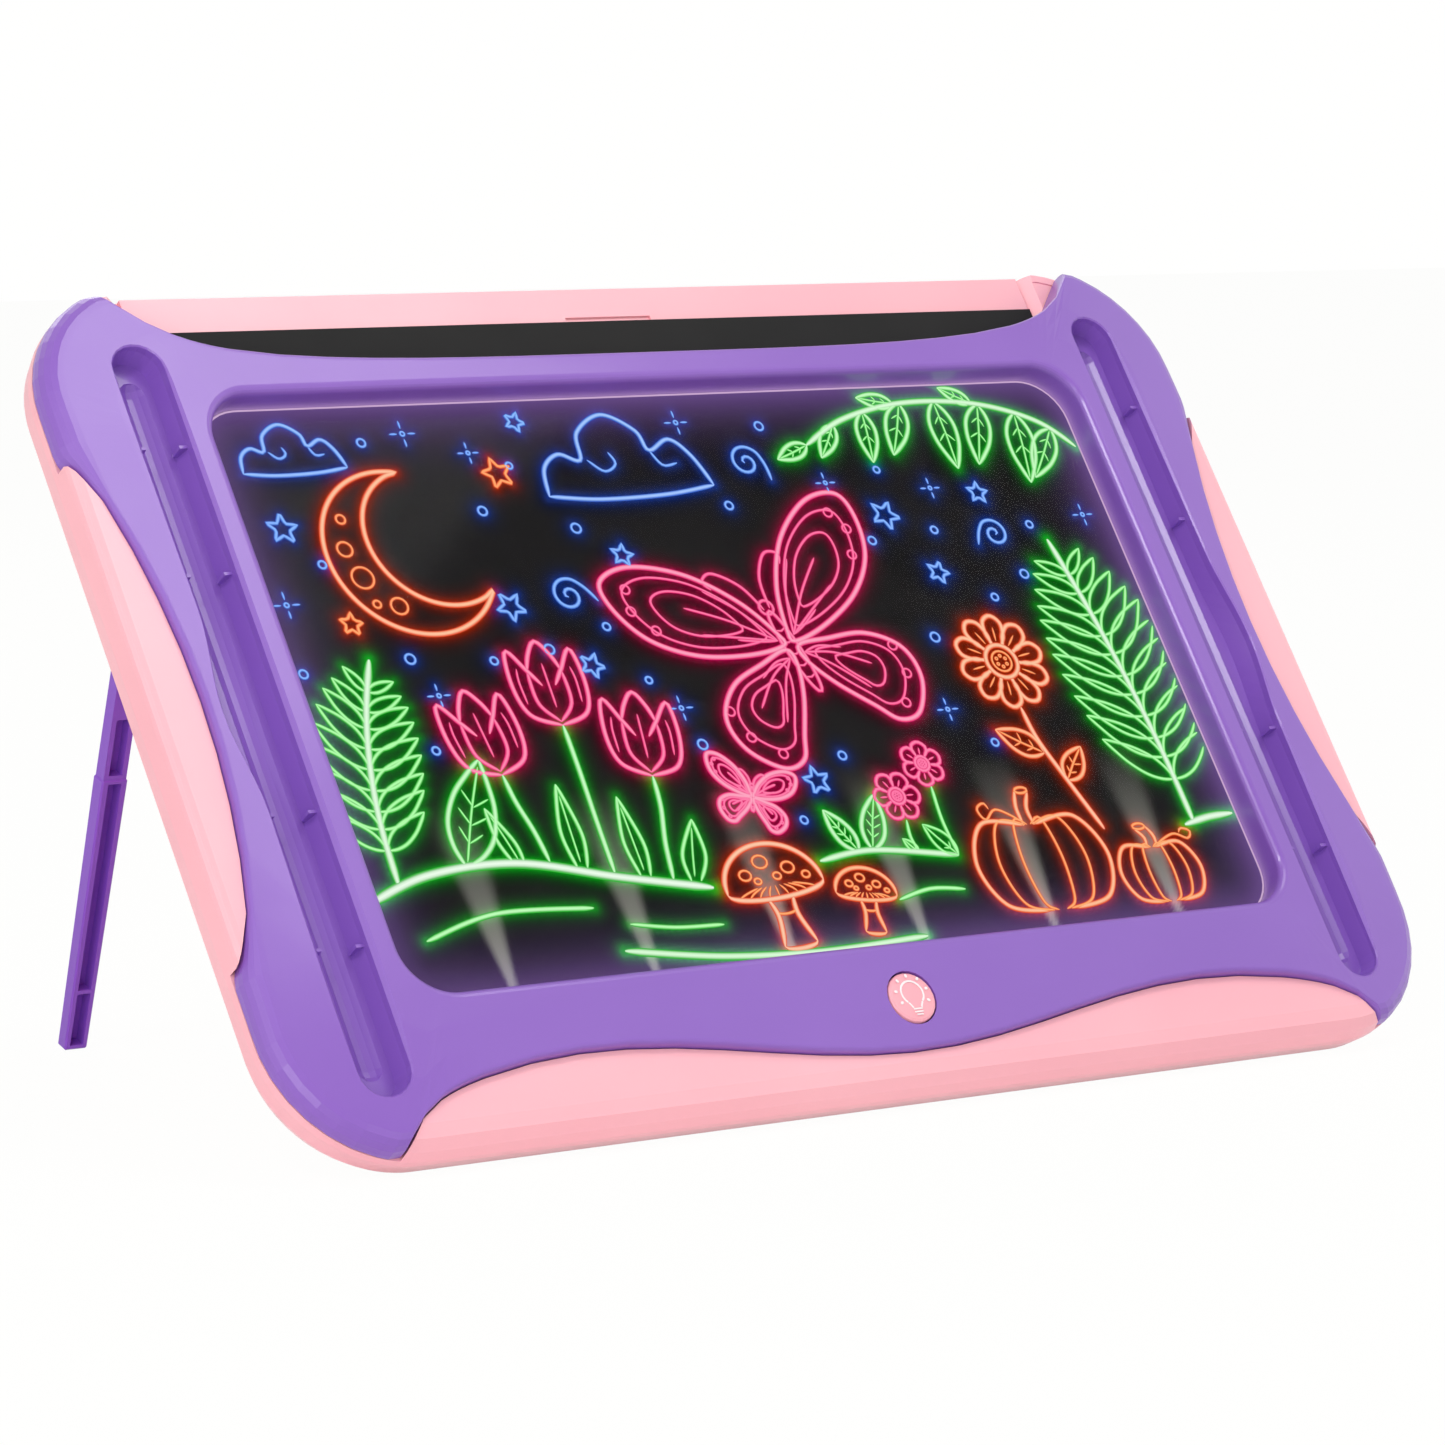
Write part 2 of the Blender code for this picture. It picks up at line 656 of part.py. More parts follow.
def front_frame_shell(parent):
    edge = outline()
    radii = edge_radii(edge)
    face = inset_along_rays(edge, radii)
    lip = window_ring(LIP_RADIUS)
    bends = [math.radians(a) for a in (0, 18, 36, 54, 72, 90)]
    rings = [at_depth(edge, SHELL_SEAM)]
    rings += edge_rings(edge, radii, 0.0, bends)
    rings += [crowned(between(face, lip, share)) for share in (0.35, 0.7)]
    for bend in bends:
        grow = LIP_RADIUS * (1 - math.sin(bend))
        rings.append(at_depth(window_ring(grow), LIP_RADIUS * (1 - math.cos(bend))))
    rings.append(at_depth(window_ring(0.0), WINDOW_DEPTH))
    rings.append(at_depth(ledge_ring(0.0), WINDOW_DEPTH))
    rings.append(at_depth(ledge_ring(0.0), LEDGE_DEPTH))
    rings.append(at_depth(ledge_ring(LEDGE_WALL), LEDGE_DEPTH))
    rings.append(at_depth(ledge_ring(LEDGE_WALL), LEDGE_FRONT))
    rings.append(at_depth(window_ring(WALL), LEDGE_FRONT))
    rings.append(at_depth(window_ring(WALL), LIP_RADIUS + WALL))
    under = inset_along_rays(edge, [max(r, WALL) for r in radii])
    rings += [crowned(between(window_ring(WALL), under, share), WALL) for share in (0.3, 0.65)]
    rings += edge_rings(edge, radii, WALL, [math.radians(a) for a in (90, 45, 0)])
    rings.append(at_depth(inset_along_rays(edge, [WALL] * len(edge)), SHELL_SEAM))
    shape = bmesh.new()
    add_loft(shape, rings, joined=True)
    return from_bmesh("front_frame", shape, PARTS, parent, ("purple_plastic", PURPLE))


def tray_ring(side, grow, narrow, depth, grip=1.0):
    """The tray's stadium outline, with the finger scoop swelling its outer side."""
    radius = TRAY_WIDTH / 2 - narrow
    low, high = TRAY_BOTTOM + TRAY_WIDTH / 2, TRAY_TOP - TRAY_WIDTH / 2
    outward = (radius + grow) * side
    points = []
    points.append((side * TRAY_X + outward, depth, low))
    for i in range(GRIP_STEPS + 1):
        share = i / GRIP_STEPS - 0.5
        swell = GRIP_REACH * grip * math.cos(math.pi * share) ** 2
        points.append((side * TRAY_X + outward + side * swell, depth, GRIP_Z + GRIP_LENGTH * share))
    points.append((side * TRAY_X + outward, depth, high))
    for i in range(1, END_STEPS):
        bend = math.pi * i / END_STEPS
        points.append((side * TRAY_X + outward * math.cos(bend), depth, high + (radius + grow) * math.sin(bend)))
    for z in (high, low):
        points.append((side * TRAY_X - outward, depth, z))
    for i in range(1, END_STEPS):
        bend = math.pi * i / END_STEPS
        points.append((side * TRAY_X - outward * math.cos(bend), depth, low - (radius + grow) * math.sin(bend)))
    return points


def on_crown(ring, below):
    return [(x, crown(x, z) + below, z) for x, _, z in ring]


def frame_additions(parent):
    """Tray troughs, screw posts and the button collar, all rooted in the middle of the frame's skin."""
    shape = bmesh.new()
    for side in (-1, 1):
        well = tray_ring(side, 0.0, TRAY_WIDTH / 4, TRAY_DEPTH / 2, 0.0)
        add_loft(shape, [well, on_crown(well, WALL / 2),
                         on_crown(tray_ring(side, TRAY_WALL, 0.0, 0.0), WALL / 2),
                         tray_ring(side, TRAY_WALL, TRAY_DRAFT, TRAY_DEPTH + TRAY_WALL, 0.6)])
    for x, z in CASE_SCREWS:
        add_rod(shape, CASE_POST_RADIUS, (x, crown(x, z) + WALL / 2, z), (x, CASE_BOSS_FRONT - GAP, z))
    root = crown(BUTTON_X, BUTTON_Z) + WALL / 2
    add_rod(shape, BUTTON_RADIUS + GAP + COLLAR_WALL, (BUTTON_X, root, BUTTON_Z),
            (BUTTON_X, COLLAR_DEPTH, BUTTON_Z), FINE_ROUND_STEPS)
    return from_bmesh("frame_additions", shape, CUTTERS, parent)


def groove_backing(parent):
    """The skin under the half-round grooves."""
    shape = bmesh.new()
    for side in (-1, 1):
        add_groove(shape, side, TRAY_WALL)
    return from_bmesh("groove_backing", shape, CUTTERS, parent)


def add_groove(shape, side, grow):
    """A long round-ended bead along the tray's floor."""
    radius = GROOVE_RADIUS + grow
    low = TRAY_BOTTOM + GROOVE_INSET + GROOVE_RADIUS
    high = TRAY_TOP - GROOVE_INSET - GROOVE_RADIUS
    centre = GROOVE_DEPTH - GROOVE_RADIUS
    rings = []
    for end, angles in ((low, (-80, -50, -25, 0)), (high, (0, 25, 50, 80))):
        for angle in angles:
            bend = math.radians(angle)
            around = []
            for i in range(ROUND_STEPS):
                turn = 2 * math.pi * (i + 0.5) / ROUND_STEPS
                around.append((side * TRAY_X + radius * math.cos(bend) * math.cos(turn),
                               centre + radius * math.cos(bend) * math.sin(turn),
                               end + radius * math.sin(bend)))
            rings.append(around)
    add_loft(shape, rings)


def tray_cutter(parent):
    shape = bmesh.new()
    for side in (-1, 1):
        top = tray_ring(side, OVERRUN + TRAY_LIP, 0.0, -2 * OVERRUN)
        add_loft(shape, [top, on_crown(top, -OVERRUN), on_crown(tray_ring(side, 0.0, 0.0, 0.0), TRAY_LIP),
                         tray_ring(side, 0.0, 0.0, CROWN_DROP),
                         tray_ring(side, 0.0, TRAY_DRAFT, TRAY_DEPTH, 0.6)])
    return from_bmesh("tray_cutter", shape, CUTTERS, parent)


def groove_cutter(parent):
    shape = bmesh.new()
    for side in (-1, 1):
        add_groove(shape, side, 0.0)
    return from_bmesh("groove_cutter", shape, CUTTERS, parent)


def tray_ribs(parent):
    """Small upright ribs on both walls of each tray that grip the pens."""
    shape = bmesh.new()
    root = TRAY_WIDTH / 2 + (TRAY_WALL - TRAY_DRAFT) / 2
    tip = TRAY_WIDTH / 2 - TRAY_DRAFT - RIB_REACH
    for side in (-1, 1):
        for spread in RIB_SPREADS:
            for z in (RIB_Z - spread, RIB_Z + spread):
                for wall in (-1, 1):
                    reach = sorted(side * TRAY_X + wall * a for a in (root, tip))
                    add_box(shape, (reach[0], RIB_TOP + WALL / 2, z - RIB_WIDTH / 2),
                            (reach[1], RIB_FOOT, z + RIB_WIDTH / 2))
    return from_bmesh("tray_ribs", shape, CUTTERS, parent)


def frame_holes(parent):
    shape = bmesh.new()
    add_rod(shape, BUTTON_RADIUS + GAP, (BUTTON_X, -OVERRUN, BUTTON_Z),
            (BUTTON_X, COLLAR_DEPTH + OVERRUN, BUTTON_Z), FINE_ROUND_STEPS)
    tip = CASE_HEAD_DEPTH - SCREW_LENGTH - GAP
    for x, z in CASE_SCREWS:
        add_rod(shape, SCREW_RADIUS + SCREW_CLEAR, (x, tip, z), (x, CASE_BOSS_FRONT + OVERRUN, z), PIN_STEPS)
    return from_bmesh("frame_holes", shape, CUTTERS, parent)


def front_frame(parent):
    frame = front_frame_shell(parent)
    boolean(frame, frame_additions(parent), "UNION")
    boolean(frame, groove_backing(parent), "UNION")
    boolean(frame, tray_cutter(parent))
    boolean(frame, groove_cutter(parent))
    boolean(frame, tray_ribs(parent), "UNION")
    boolean(frame, frame_holes(parent))


def rear_profile(skin, edge):
    """Inset and depth of each ring of the rear shell's outside, or of a body a skin smaller."""
    start = LAND_DEPTH - LAND_RISE_SHARE * edge + skin
    round_in = max(edge - skin, 0)
    profile = [(LAND_REACH, LAND_DEPTH - LAND_RISE_SHARE * LAND_REACH + skin)]
    for angle in (0, 30, 60, 90):
        bend = math.radians(angle)
        profile.append((skin + round_in * (1 - math.sin(bend)), start + round_in * (1 - math.cos(bend))))
    bend_start = BOARD_DEPTH - REAR_BEND
    bends = (0, 30, 60, 90) if skin else (0, 22.5, 45, 67.5, 90)
    for angle in bends:
        bend = math.radians(angle)
        profile.append((REAR_BEND - (REAR_BEND - skin) * math.cos(bend),
                        bend_start + (REAR_BEND - skin) * math.sin(bend)))
    return profile


def rear_body(name, skin, group, parent, look=None):
    """The rear shell's solid form, whose front edge is softer along the bottom than along the sides."""
    shape = bmesh.new()
    rings = []
    for side, bottom in zip(rear_profile(skin, LAND_EDGE_SIDE), rear_profile(skin, LAND_EDGE_BOTTOM)):
        ring = []
        for (a, b), (c, d), (_, way) in zip(case_ring(side[0]), case_ring(bottom[0]), RAYS):
            share = max(-way[1], 0) ** 2
            ring.append((a + (c - a) * share, side[1] + (bottom[1] - side[1]) * share, b + (d - b) * share))
        rings.append(ring)
    add_loft(shape, rings)
    return from_bmesh(name, shape, group, parent, look)


def frame_room(parent):
    """The space that the front frame and the sliding sheet take out of the rear shell."""
    shape = bmesh.new()
    edge = [along_ray(start, way, room_level, GAP) for start, way in RAYS]
    add_loft(shape, [at_depth(edge, -OVERRUN), at_depth(edge, SHELL_SEAM + GAP)])
    return from_bmesh("frame_room", shape, CUTTERS, parent)


def sheet_room(parent):
    """The slot that the sheet slides out of, flared at both ends and open in front down to the frame."""
    half, floor = PLATE_WIDTH / 2 + GAP, SHELL_SEAM + GAP
    reach = TOP_TIP_X + SLOT_FLARE
    plan = [(reach, -OVERRUN), (reach, floor), (half + SLOT_FLARE, floor), (half, floor + SLOT_FLARE),
            (half, PLATE_BACK + GAP)]
    plan += [(-x, y) for x, y in reversed(plan)]
    shape = bmesh.new()
    add_loft(shape, [[(x, y, z) for x, y in plan] for z in (WINDOW_TOP, BOARD_HEIGHT + OVERRUN)])
    return from_bmesh("sheet_room", shape, CUTTERS, parent)


def rear_bosses(parent):
    shape = bmesh.new()
    for side in (-1, 1):
        half = RECESS_HALF + RECESS_WALL
        foot = leg_foot_z() - RECESS_FOOT
        add_box(shape, (side * LEG_X - half, RECESS_FLOOR - RECESS_WALL, foot - RECESS_WALL),
                (side * LEG_X + half, BOARD_DEPTH, RECESS_TOP + RECESS_WALL))
    half = POCKET_WIDTH / 2 + POCKET_WALL
    add_box(shape, (-half, PLATE_BACK - POCKET_FLOOR, POCKET_LOW - POCKET_WALL),
            (half, BOARD_DEPTH, POCKET_HIGH + POCKET_WALL))
    for x, z in PLATE_POSTS:
        add_rod(shape, POST_RADIUS, (x, PLATE_BACK + GAP, z), (x, BOARD_DEPTH, z))
    for side in (-1, 1):
        cheek = sorted((side * PLATE_WIDTH / 2, side * (TOP_TIP_X + SLOT_FLARE)))
        add_box(shape, (cheek[0], SHELL_SEAM + 2 * GAP, TRAY_TOP + WALL), (cheek[1], BOARD_DEPTH, BOARD_HEIGHT))
    for x in (-BOARD_SCREW_X, BOARD_SCREW_X):
        add_rod(shape, BOARD_POST_RADIUS, (x, BOARD_BACK + GAP, BOARD_SCREW_Z), (x, BOARD_DEPTH, BOARD_SCREW_Z))
    for x, z in CASE_SCREWS:
        add_rod(shape, CASE_BOSS_RADIUS, (x, CASE_BOSS_FRONT, z), (x, BOARD_DEPTH, z))
    bosses = from_bmesh("rear_bosses", shape, CUTTERS, parent)
    boolean(bosses, rear_body("boss_limit", WALL / 2, CUTTERS, parent), "INTERSECT")
    return bosses


def cover_backing(parent):
    shape = bmesh.new()
    half = COVER_WIDTH / 2 + COVER_RIM
    add_box(shape, (-half, BOARD_DEPTH - COVER_BACKING, COVER_LOW - COVER_RIM),
            (half, BOARD_DEPTH - WALL / 2, COVER_HIGH + COVER_RIM))
    return from_bmesh("cover_backing", shape, CUTTERS, parent)


def rear_recesses(parent):
    """Leg recesses, the battery pocket and the screw holes, cut from the back."""
    shape = bmesh.new()
    out = BOARD_DEPTH + OVERRUN
    for side in (-1, 1):
        add_box(shape, (side * LEG_X - RECESS_HALF, RECESS_FLOOR, leg_foot_z() - RECESS_FOOT),
                (side * LEG_X + RECESS_HALF, out, RECESS_TOP))
    add_box(shape, (-POCKET_WIDTH / 2, PLATE_BACK, POCKET_LOW), (POCKET_WIDTH / 2, out, POCKET_HIGH))
    for x, z in CASE_SCREWS:
        add_rod(shape, SCREW_HEAD_RADIUS + GAP, (x, CASE_HEAD_DEPTH - GAP, z), (x, out, z))
    return from_bmesh("rear_recesses", shape, CUTTERS, parent)


def cover_room(parent):
    shape = bmesh.new()
    half = COVER_WIDTH / 2 + GAP
    floor = BOARD_DEPTH - COVER_SUNK - COVER_THICKNESS - GAP
    add_box(shape, (-half, floor, COVER_LOW - GAP), (half, BOARD_DEPTH + OVERRUN, COVER_HIGH + GAP))
    return from_bmesh("cover_room", shape, CUTTERS, parent)


def rear_bores(parent):
    """Screw shanks, the cover's cup, the hinge pins and the holes that the battery wires pass."""
    shape = bmesh.new()
    for x, z in CASE_SCREWS:
        add_rod(shape, SCREW_RADIUS + SCREW_CLEAR, (x, CASE_BOSS_FRONT - OVERRUN, z), (x, CASE_HEAD_DEPTH, z),
                PIN_STEPS)
    for x in (-BOARD_SCREW_X, BOARD_SCREW_X):
        add_rod(shape, SCREW_RADIUS + SCREW_CLEAR, (x, BOARD_BACK - OVERRUN, BOARD_SCREW_Z),
                (x, BOARD_FRONT + SMALL_SCREW_LENGTH + GAP, BOARD_SCREW_Z), PIN_STEPS)
    cup = BOARD_DEPTH - COVER_SUNK - COVER_THICKNESS - COVER_CUP_DEPTH - GAP
    add_rod(shape, COVER_CUP_RADIUS + GAP, (0, cup, COVER_SCREW_Z), (0, BOARD_DEPTH, COVER_SCREW_Z))
    for side in (-1, 1):
        reach = LEG_PIN_LENGTH / 2 + GAP
        add_rod(shape, LEG_PIN_RADIUS + LEG_PIN_CLEAR, (side * LEG_X - reach, LEG_Y, LEG_PIVOT_Z),
                (side * LEG_X + reach, LEG_Y, LEG_PIVOT_Z), PIN_STEPS)
    for route in (RED_WIRE_ROUTE, BLACK_WIRE_ROUTE):
        _, y, z = route[0]
        add_rod(shape, WIRE_HOLE_RADIUS, (-POCKET_WIDTH / 2 - POCKET_WALL - OVERRUN, y, z),
                (-POCKET_WIDTH / 2 + OVERRUN, y, z), PIN_STEPS)
    return from_bmesh("rear_bores", shape, CUTTERS, parent)


def cover_screw_bore(parent):
    shape = bmesh.new()
    head = cover_screw_head()
    add_rod(shape, SCREW_RADIUS + SCREW_CLEAR, (0, head - COVER_SCREW_LENGTH - GAP, COVER_SCREW_Z),
            (0, BOARD_DEPTH, COVER_SCREW_Z), PIN_STEPS)
    return from_bmesh("cover_screw_bore", shape, CUTTERS, parent)


def cover_screw_boss(parent):
    shape = bmesh.new()
    head = cover_screw_head()
    add_rod(shape, CASE_BOSS_RADIUS, (0, head - COVER_SCREW_LENGTH - WALL / 2, COVER_SCREW_Z),
            (0, BOARD_DEPTH - COVER_BACKING + WALL / 2, COVER_SCREW_Z))
    return from_bmesh("cover_screw_boss", shape, CUTTERS, parent)


def rear_shell(parent):
    shell = rear_body("rear_shell", 0.0, PARTS, parent, ("pink_plastic", PINK))
    boolean(shell, frame_room(parent))
    boolean(shell, rear_body("rear_hollow", WALL, CUTTERS, parent))
    boolean(shell, rear_bosses(parent), "UNION")
    boolean(shell, sheet_room(parent))
    boolean(shell, cover_backing(parent), "UNION")
    boolean(shell, cover_screw_boss(parent), "UNION")
    boolean(shell, rear_recesses(parent))
    boolean(shell, cover_room(parent))
    boolean(shell, rear_bores(parent))
    boolean(shell, cover_screw_bore(parent))


def plain_box(name, low, high, parent, look):
    shape = bmesh.new()
    add_box(shape, low, high)
    return from_bmesh(name, shape, PARTS, parent, look)


def drawing_panel(parent):
    """The clear panel, with a rebated rim that lies behind the window's ledge."""
    half = WINDOW_WIDTH / 2 + PANEL_SIDE
    rim = box_ring(half, WINDOW_BOTTOM - PANEL_FOOT, WINDOW_TOP + PANEL_SIDE, WINDOW_CORNER)
    field = window_ring(-GAP)
    shape = bmesh.new()
    add_loft(shape, [at_depth(field, PANEL_FRONT), at_depth(field, PANEL_RIM), at_depth(rim, PANEL_RIM),
                     at_depth(rim, PANEL_BACK)])
    return from_bmesh("drawing_panel", shape, PARTS, parent, ("clear_acrylic", CLEAR))


def sheet_backplate(parent):
    """The wall behind the sheet, with a shelf at its foot and a finger notch at its top."""
    half = PLATE_WIDTH / 2
    plate = plain_box("sheet_backplate", (-half, PLATE_FRONT, SHELF_LOW), (half, PLATE_BACK, PLATE_HIGH), parent,
                      ("pink_plastic", PINK))
    shape = bmesh.new()
    add_box(shape, (-half + GAP, SHEET_FRONT, SHELF_LOW + GAP), (half - GAP, PLATE_FRONT + GAP, SHEET_LOW - GAP))
    boolean(plate, from_bmesh("sheet_shelf", shape, CUTTERS, parent), "UNION")
    shape = bmesh.new()
    add_box(shape, (NOTCH_X - NOTCH_WIDTH / 2, SHEET_BACK, NOTCH_TOP - NOTCH_HEIGHT),
            (NOTCH_X + NOTCH_WIDTH / 2, PLATE_FRONT + NOTCH_DEPTH, NOTCH_TOP))
    room = POCKET_WIDTH / 2 + POCKET_WALL + GAP
    add_box(shape, (-room, PLATE_FRONT - OVERRUN, POCKET_LOW - POCKET_WALL - GAP),
            (room, PLATE_BACK + OVERRUN, POCKET_HIGH + POCKET_WALL + GAP))
    gate = sum(LED_WIRE_XS) / 2
    add_box(shape, (gate - LED_WIRE_GATE / 2, PANEL_BACK, SHELF_LOW - OVERRUN),
            (gate + LED_WIRE_GATE / 2, PLATE_BACK + OVERRUN, SHEET_LOW))
    boolean(plate, from_bmesh("plate_cuts", shape, CUTTERS, parent))


def light_strip(parent):
    half = LED_BOARD_LENGTH / 2
    middle = (PANEL_RIM + PANEL_BACK) / 2
    plain_box("led_board", (-half, middle - LED_BOARD_WIDTH / 2, LED_BOARD_LOW),
              (half, middle + LED_BOARD_WIDTH / 2, LED_BOARD_LOW + LED_BOARD_THICKNESS), parent,
              ("white_circuit_board", BOARD_WHITE))
    for i in range(LED_COUNT):
        x = (i - (LED_COUNT - 1) / 2) * LED_PITCH
        plain_box(f"led_{i + 1}", (x - LED_WIDTH / 2, middle - LED_DEPTH / 2, LED_LOW - GAP),
                  (x + LED_WIDTH / 2, middle + LED_DEPTH / 2, LED_LOW - GAP + LED_HEIGHT), parent,
                  ("led_lens", LED_WHITE))


def button_front():
    return crown(BUTTON_X, BUTTON_Z) - BUTTON_PROUD


def power_button(parent):
    """The pink cap, crowned, with the flange that the collar holds back; its top faces the front."""
    front = button_front()
    back = COLLAR_DEPTH + GAP + BUTTON_FLANGE_THICKNESS
    profile = [(0, 0), (BUTTON_RADIUS / 2, -BUTTON_EDGE / 8), (BUTTON_RADIUS - BUTTON_EDGE, -BUTTON_EDGE / 2),
               (BUTTON_RADIUS - BUTTON_EDGE / 4, -BUTTON_EDGE), (BUTTON_RADIUS, -2 * BUTTON_EDGE),
               (BUTTON_RADIUS, front - COLLAR_DEPTH - GAP), (BUTTON_FLANGE, front - COLLAR_DEPTH - GAP),
               (BUTTON_FLANGE, front - back), (0, front - back)]
    cap = turned("power_button", profile, FINE_ROUND_STEPS, PARTS, parent, ("pink_plastic", PINK))
    facing_front(cap, BUTTON_X, front, BUTTON_Z)


def switch(parent):
    half = SWITCH_SIZE / 2
    floor = BOARD_FRONT - GAP
    body = plain_box("switch_body", (BUTTON_X - half, floor - SWITCH_HEIGHT, BUTTON_Z - half),
                     (BUTTON_X + half, floor, BUTTON_Z + half), parent, ("black_plastic", CHIP_BLACK))
    shape = bmesh.new()
    well = floor - SWITCH_HEIGHT + PLUNGER_SUNK + BUTTON_TRAVEL + GAP
    add_rod(shape, PLUNGER_RADIUS + GAP, (BUTTON_X, floor - SWITCH_HEIGHT - OVERRUN, BUTTON_Z),
            (BUTTON_X, well, BUTTON_Z))
    boolean(body, from_bmesh("switch_well", shape, CUTTERS, parent))
    top = COLLAR_DEPTH + GAP + BUTTON_FLANGE_THICKNESS + GAP
    bottom = floor - SWITCH_HEIGHT + PLUNGER_SUNK
    profile = [(0, 0), (PLUNGER_RADIUS, 0), (PLUNGER_RADIUS, top - bottom), (0, top - bottom)]
    plunger = turned("switch_plunger", profile, ROUND_STEPS, PARTS, parent, ("white_plastic", BOARD_WHITE))
    facing_front(plunger, BUTTON_X, top, BUTTON_Z)


def machine_screw(name, length, parent):
    """A pan-head screw with a cross recess; its origin is under the head and the head points up."""
    profile = [(0, SCREW_HEAD), (SCREW_HEAD_RADIUS * 0.6, SCREW_HEAD), (SCREW_HEAD_RADIUS, SCREW_HEAD / 2),
               (SCREW_HEAD_RADIUS, 0), (SCREW_RADIUS, 0), (SCREW_RADIUS, SCREW_RADIUS - length),
               (SCREW_RADIUS / 2, -length), (0, -length)]
    screw = turned(name, profile, PIN_STEPS, PARTS, parent, ("screw_steel", STEEL))
    boolean(screw, cross_recess(screw))
    return screw


def cross_recess(screw):
    """A cross of two bars for the driver, cut into the head that carries it."""
    cutter = bpy.data.objects.get("cross_recess")
    mesh = cutter.data if cutter else None
    if mesh is None:
        shape = bmesh.new()
        reach, half, top = SCREW_HEAD_RADIUS * 0.55, SCREW_HEAD_RADIUS * 0.12, SCREW_HEAD * 1.5
        corners = ((half, half), (half, reach), (-half, reach), (-half, half), (-reach, half), (-reach, -half),
                   (-half, -half), (-half, -reach), (half, -reach), (half, -half), (reach, -half), (reach, half))
        add_loft(shape, [[(x, y, z) for x, y in corners] for z in (SCREW_HEAD * 0.4, top)])
        return from_bmesh("cross_recess", shape, CUTTERS, screw)
    return place(bpy.data.objects.new("cross_recess_copy", mesh), CUTTERS, screw)


def circuit_board(parent):
    half = BOARD_WIDE / 2
    board = plain_box("main_board", (-half, BOARD_FRONT, BOARD_LOW), (half, BOARD_BACK, BOARD_LOW + BOARD_TALL),
                      parent, ("green_circuit_board", BOARD_GREEN))
    shape = bmesh.new()
    for i, x in enumerate((-BOARD_SCREW_X, BOARD_SCREW_X)):
        add_rod(shape, SCREW_RADIUS + SCREW_CLEAR, (x, BOARD_FRONT - OVERRUN, BOARD_SCREW_Z),
                (x, BOARD_BACK + OVERRUN, BOARD_SCREW_Z), PIN_STEPS)
        screw = machine_screw(f"board_screw_{i + 1}", SMALL_SCREW_LENGTH, parent)
        facing_front(screw, x, BOARD_FRONT - GAP, BOARD_SCREW_Z)
    boolean(board, from_bmesh("board_holes", shape, CUTTERS, parent))
    floor = BOARD_FRONT - GAP
    plain_box("controller_chip", (CHIP_X - CHIP_WIDTH / 2, floor - CHIP_HEIGHT, CHIP_Z - CHIP_TALL / 2),
              (CHIP_X + CHIP_WIDTH / 2, floor, CHIP_Z + CHIP_TALL / 2), parent, ("black_plastic", CHIP_BLACK))


def tube(name, points, radius, parent, look, resolution=2, close=False):
    """A wire as a curve with filled caps, made a mesh so that its caps can be welded."""
    path = bpy.data.curves.new(name, "CURVE")
    path.dimensions = "3D"
    path.bevel_depth = radius
    path.bevel_resolution = resolution
    path.use_fill_caps = True
    spline = path.splines.new("POLY")
    spline.points.add(len(points) - 1)
    for slot, point in zip(spline.points, points):
        slot.co = (*point, 1)
    guide = bpy.data.objects.new(name + "_path", path)
    bpy.data.collections[PARTS].objects.link(guide)
    bpy.context.view_layer.update()
    mesh = bpy.data.meshes.new_from_object(guide.evaluated_get(bpy.context.evaluated_depsgraph_get()))
    bpy.data.objects.remove(guide)
    shape = bmesh.new()
    shape.from_mesh(mesh)
    bmesh.ops.remove_doubles(shape, verts=shape.verts, dist=0.000001)
    return from_bmesh(name, shape, PARTS, parent, look)


def smooth_route(points, steps):
    """A smooth curve through the route's points."""
    ends = [points[0], *points, points[-1]]
    route = []
    for a, b, c, d in zip(ends, ends[1:], ends[2:], ends[3:]):
        for i in range(steps):
            t = i / steps
            route.append(tuple((2 * q + (r - p) * t + (2 * p - 5 * q + 4 * r - s) * t * t
                                + (3 * q - p - 3 * r + s) * t ** 3) / 2 for p, q, r, s in zip(a, b, c, d)))
    return route + [points[-1]]


def wires(parent):
    for name, route, colour in (("battery_wire_red", RED_WIRE_ROUTE, WIRE_RED),
                                ("battery_wire_black", BLACK_WIRE_ROUTE, WIRE_BLACK)):
        tube(name, smooth_route(route, 3), WIRE_RADIUS, parent, (name, colour))
    seat = LED_BOARD_LOW + LED_WIRE_RADIUS
    led_back = (PANEL_RIM + PANEL_BACK + LED_BOARD_WIDTH) / 2
    foot = BOARD_LOW + BOARD_TALL - 2 * LED_WIRE_RADIUS
    for name, x, colour in zip(LED_WIRE_NAMES, LED_WIRE_XS, (WIRE_RED, WIRE_BLACK)):
        route = ((x, BOARD_FRONT - GAP, foot), (x, BOARD_FRONT - 3 * GAP, foot),
                 (x, PLATE_FRONT, (foot + seat) / 2), (x, SHEET_BACK, seat), (x, led_back + GAP, seat))
        tube(name, smooth_route(route, 3), LED_WIRE_RADIUS, parent, (name, colour))


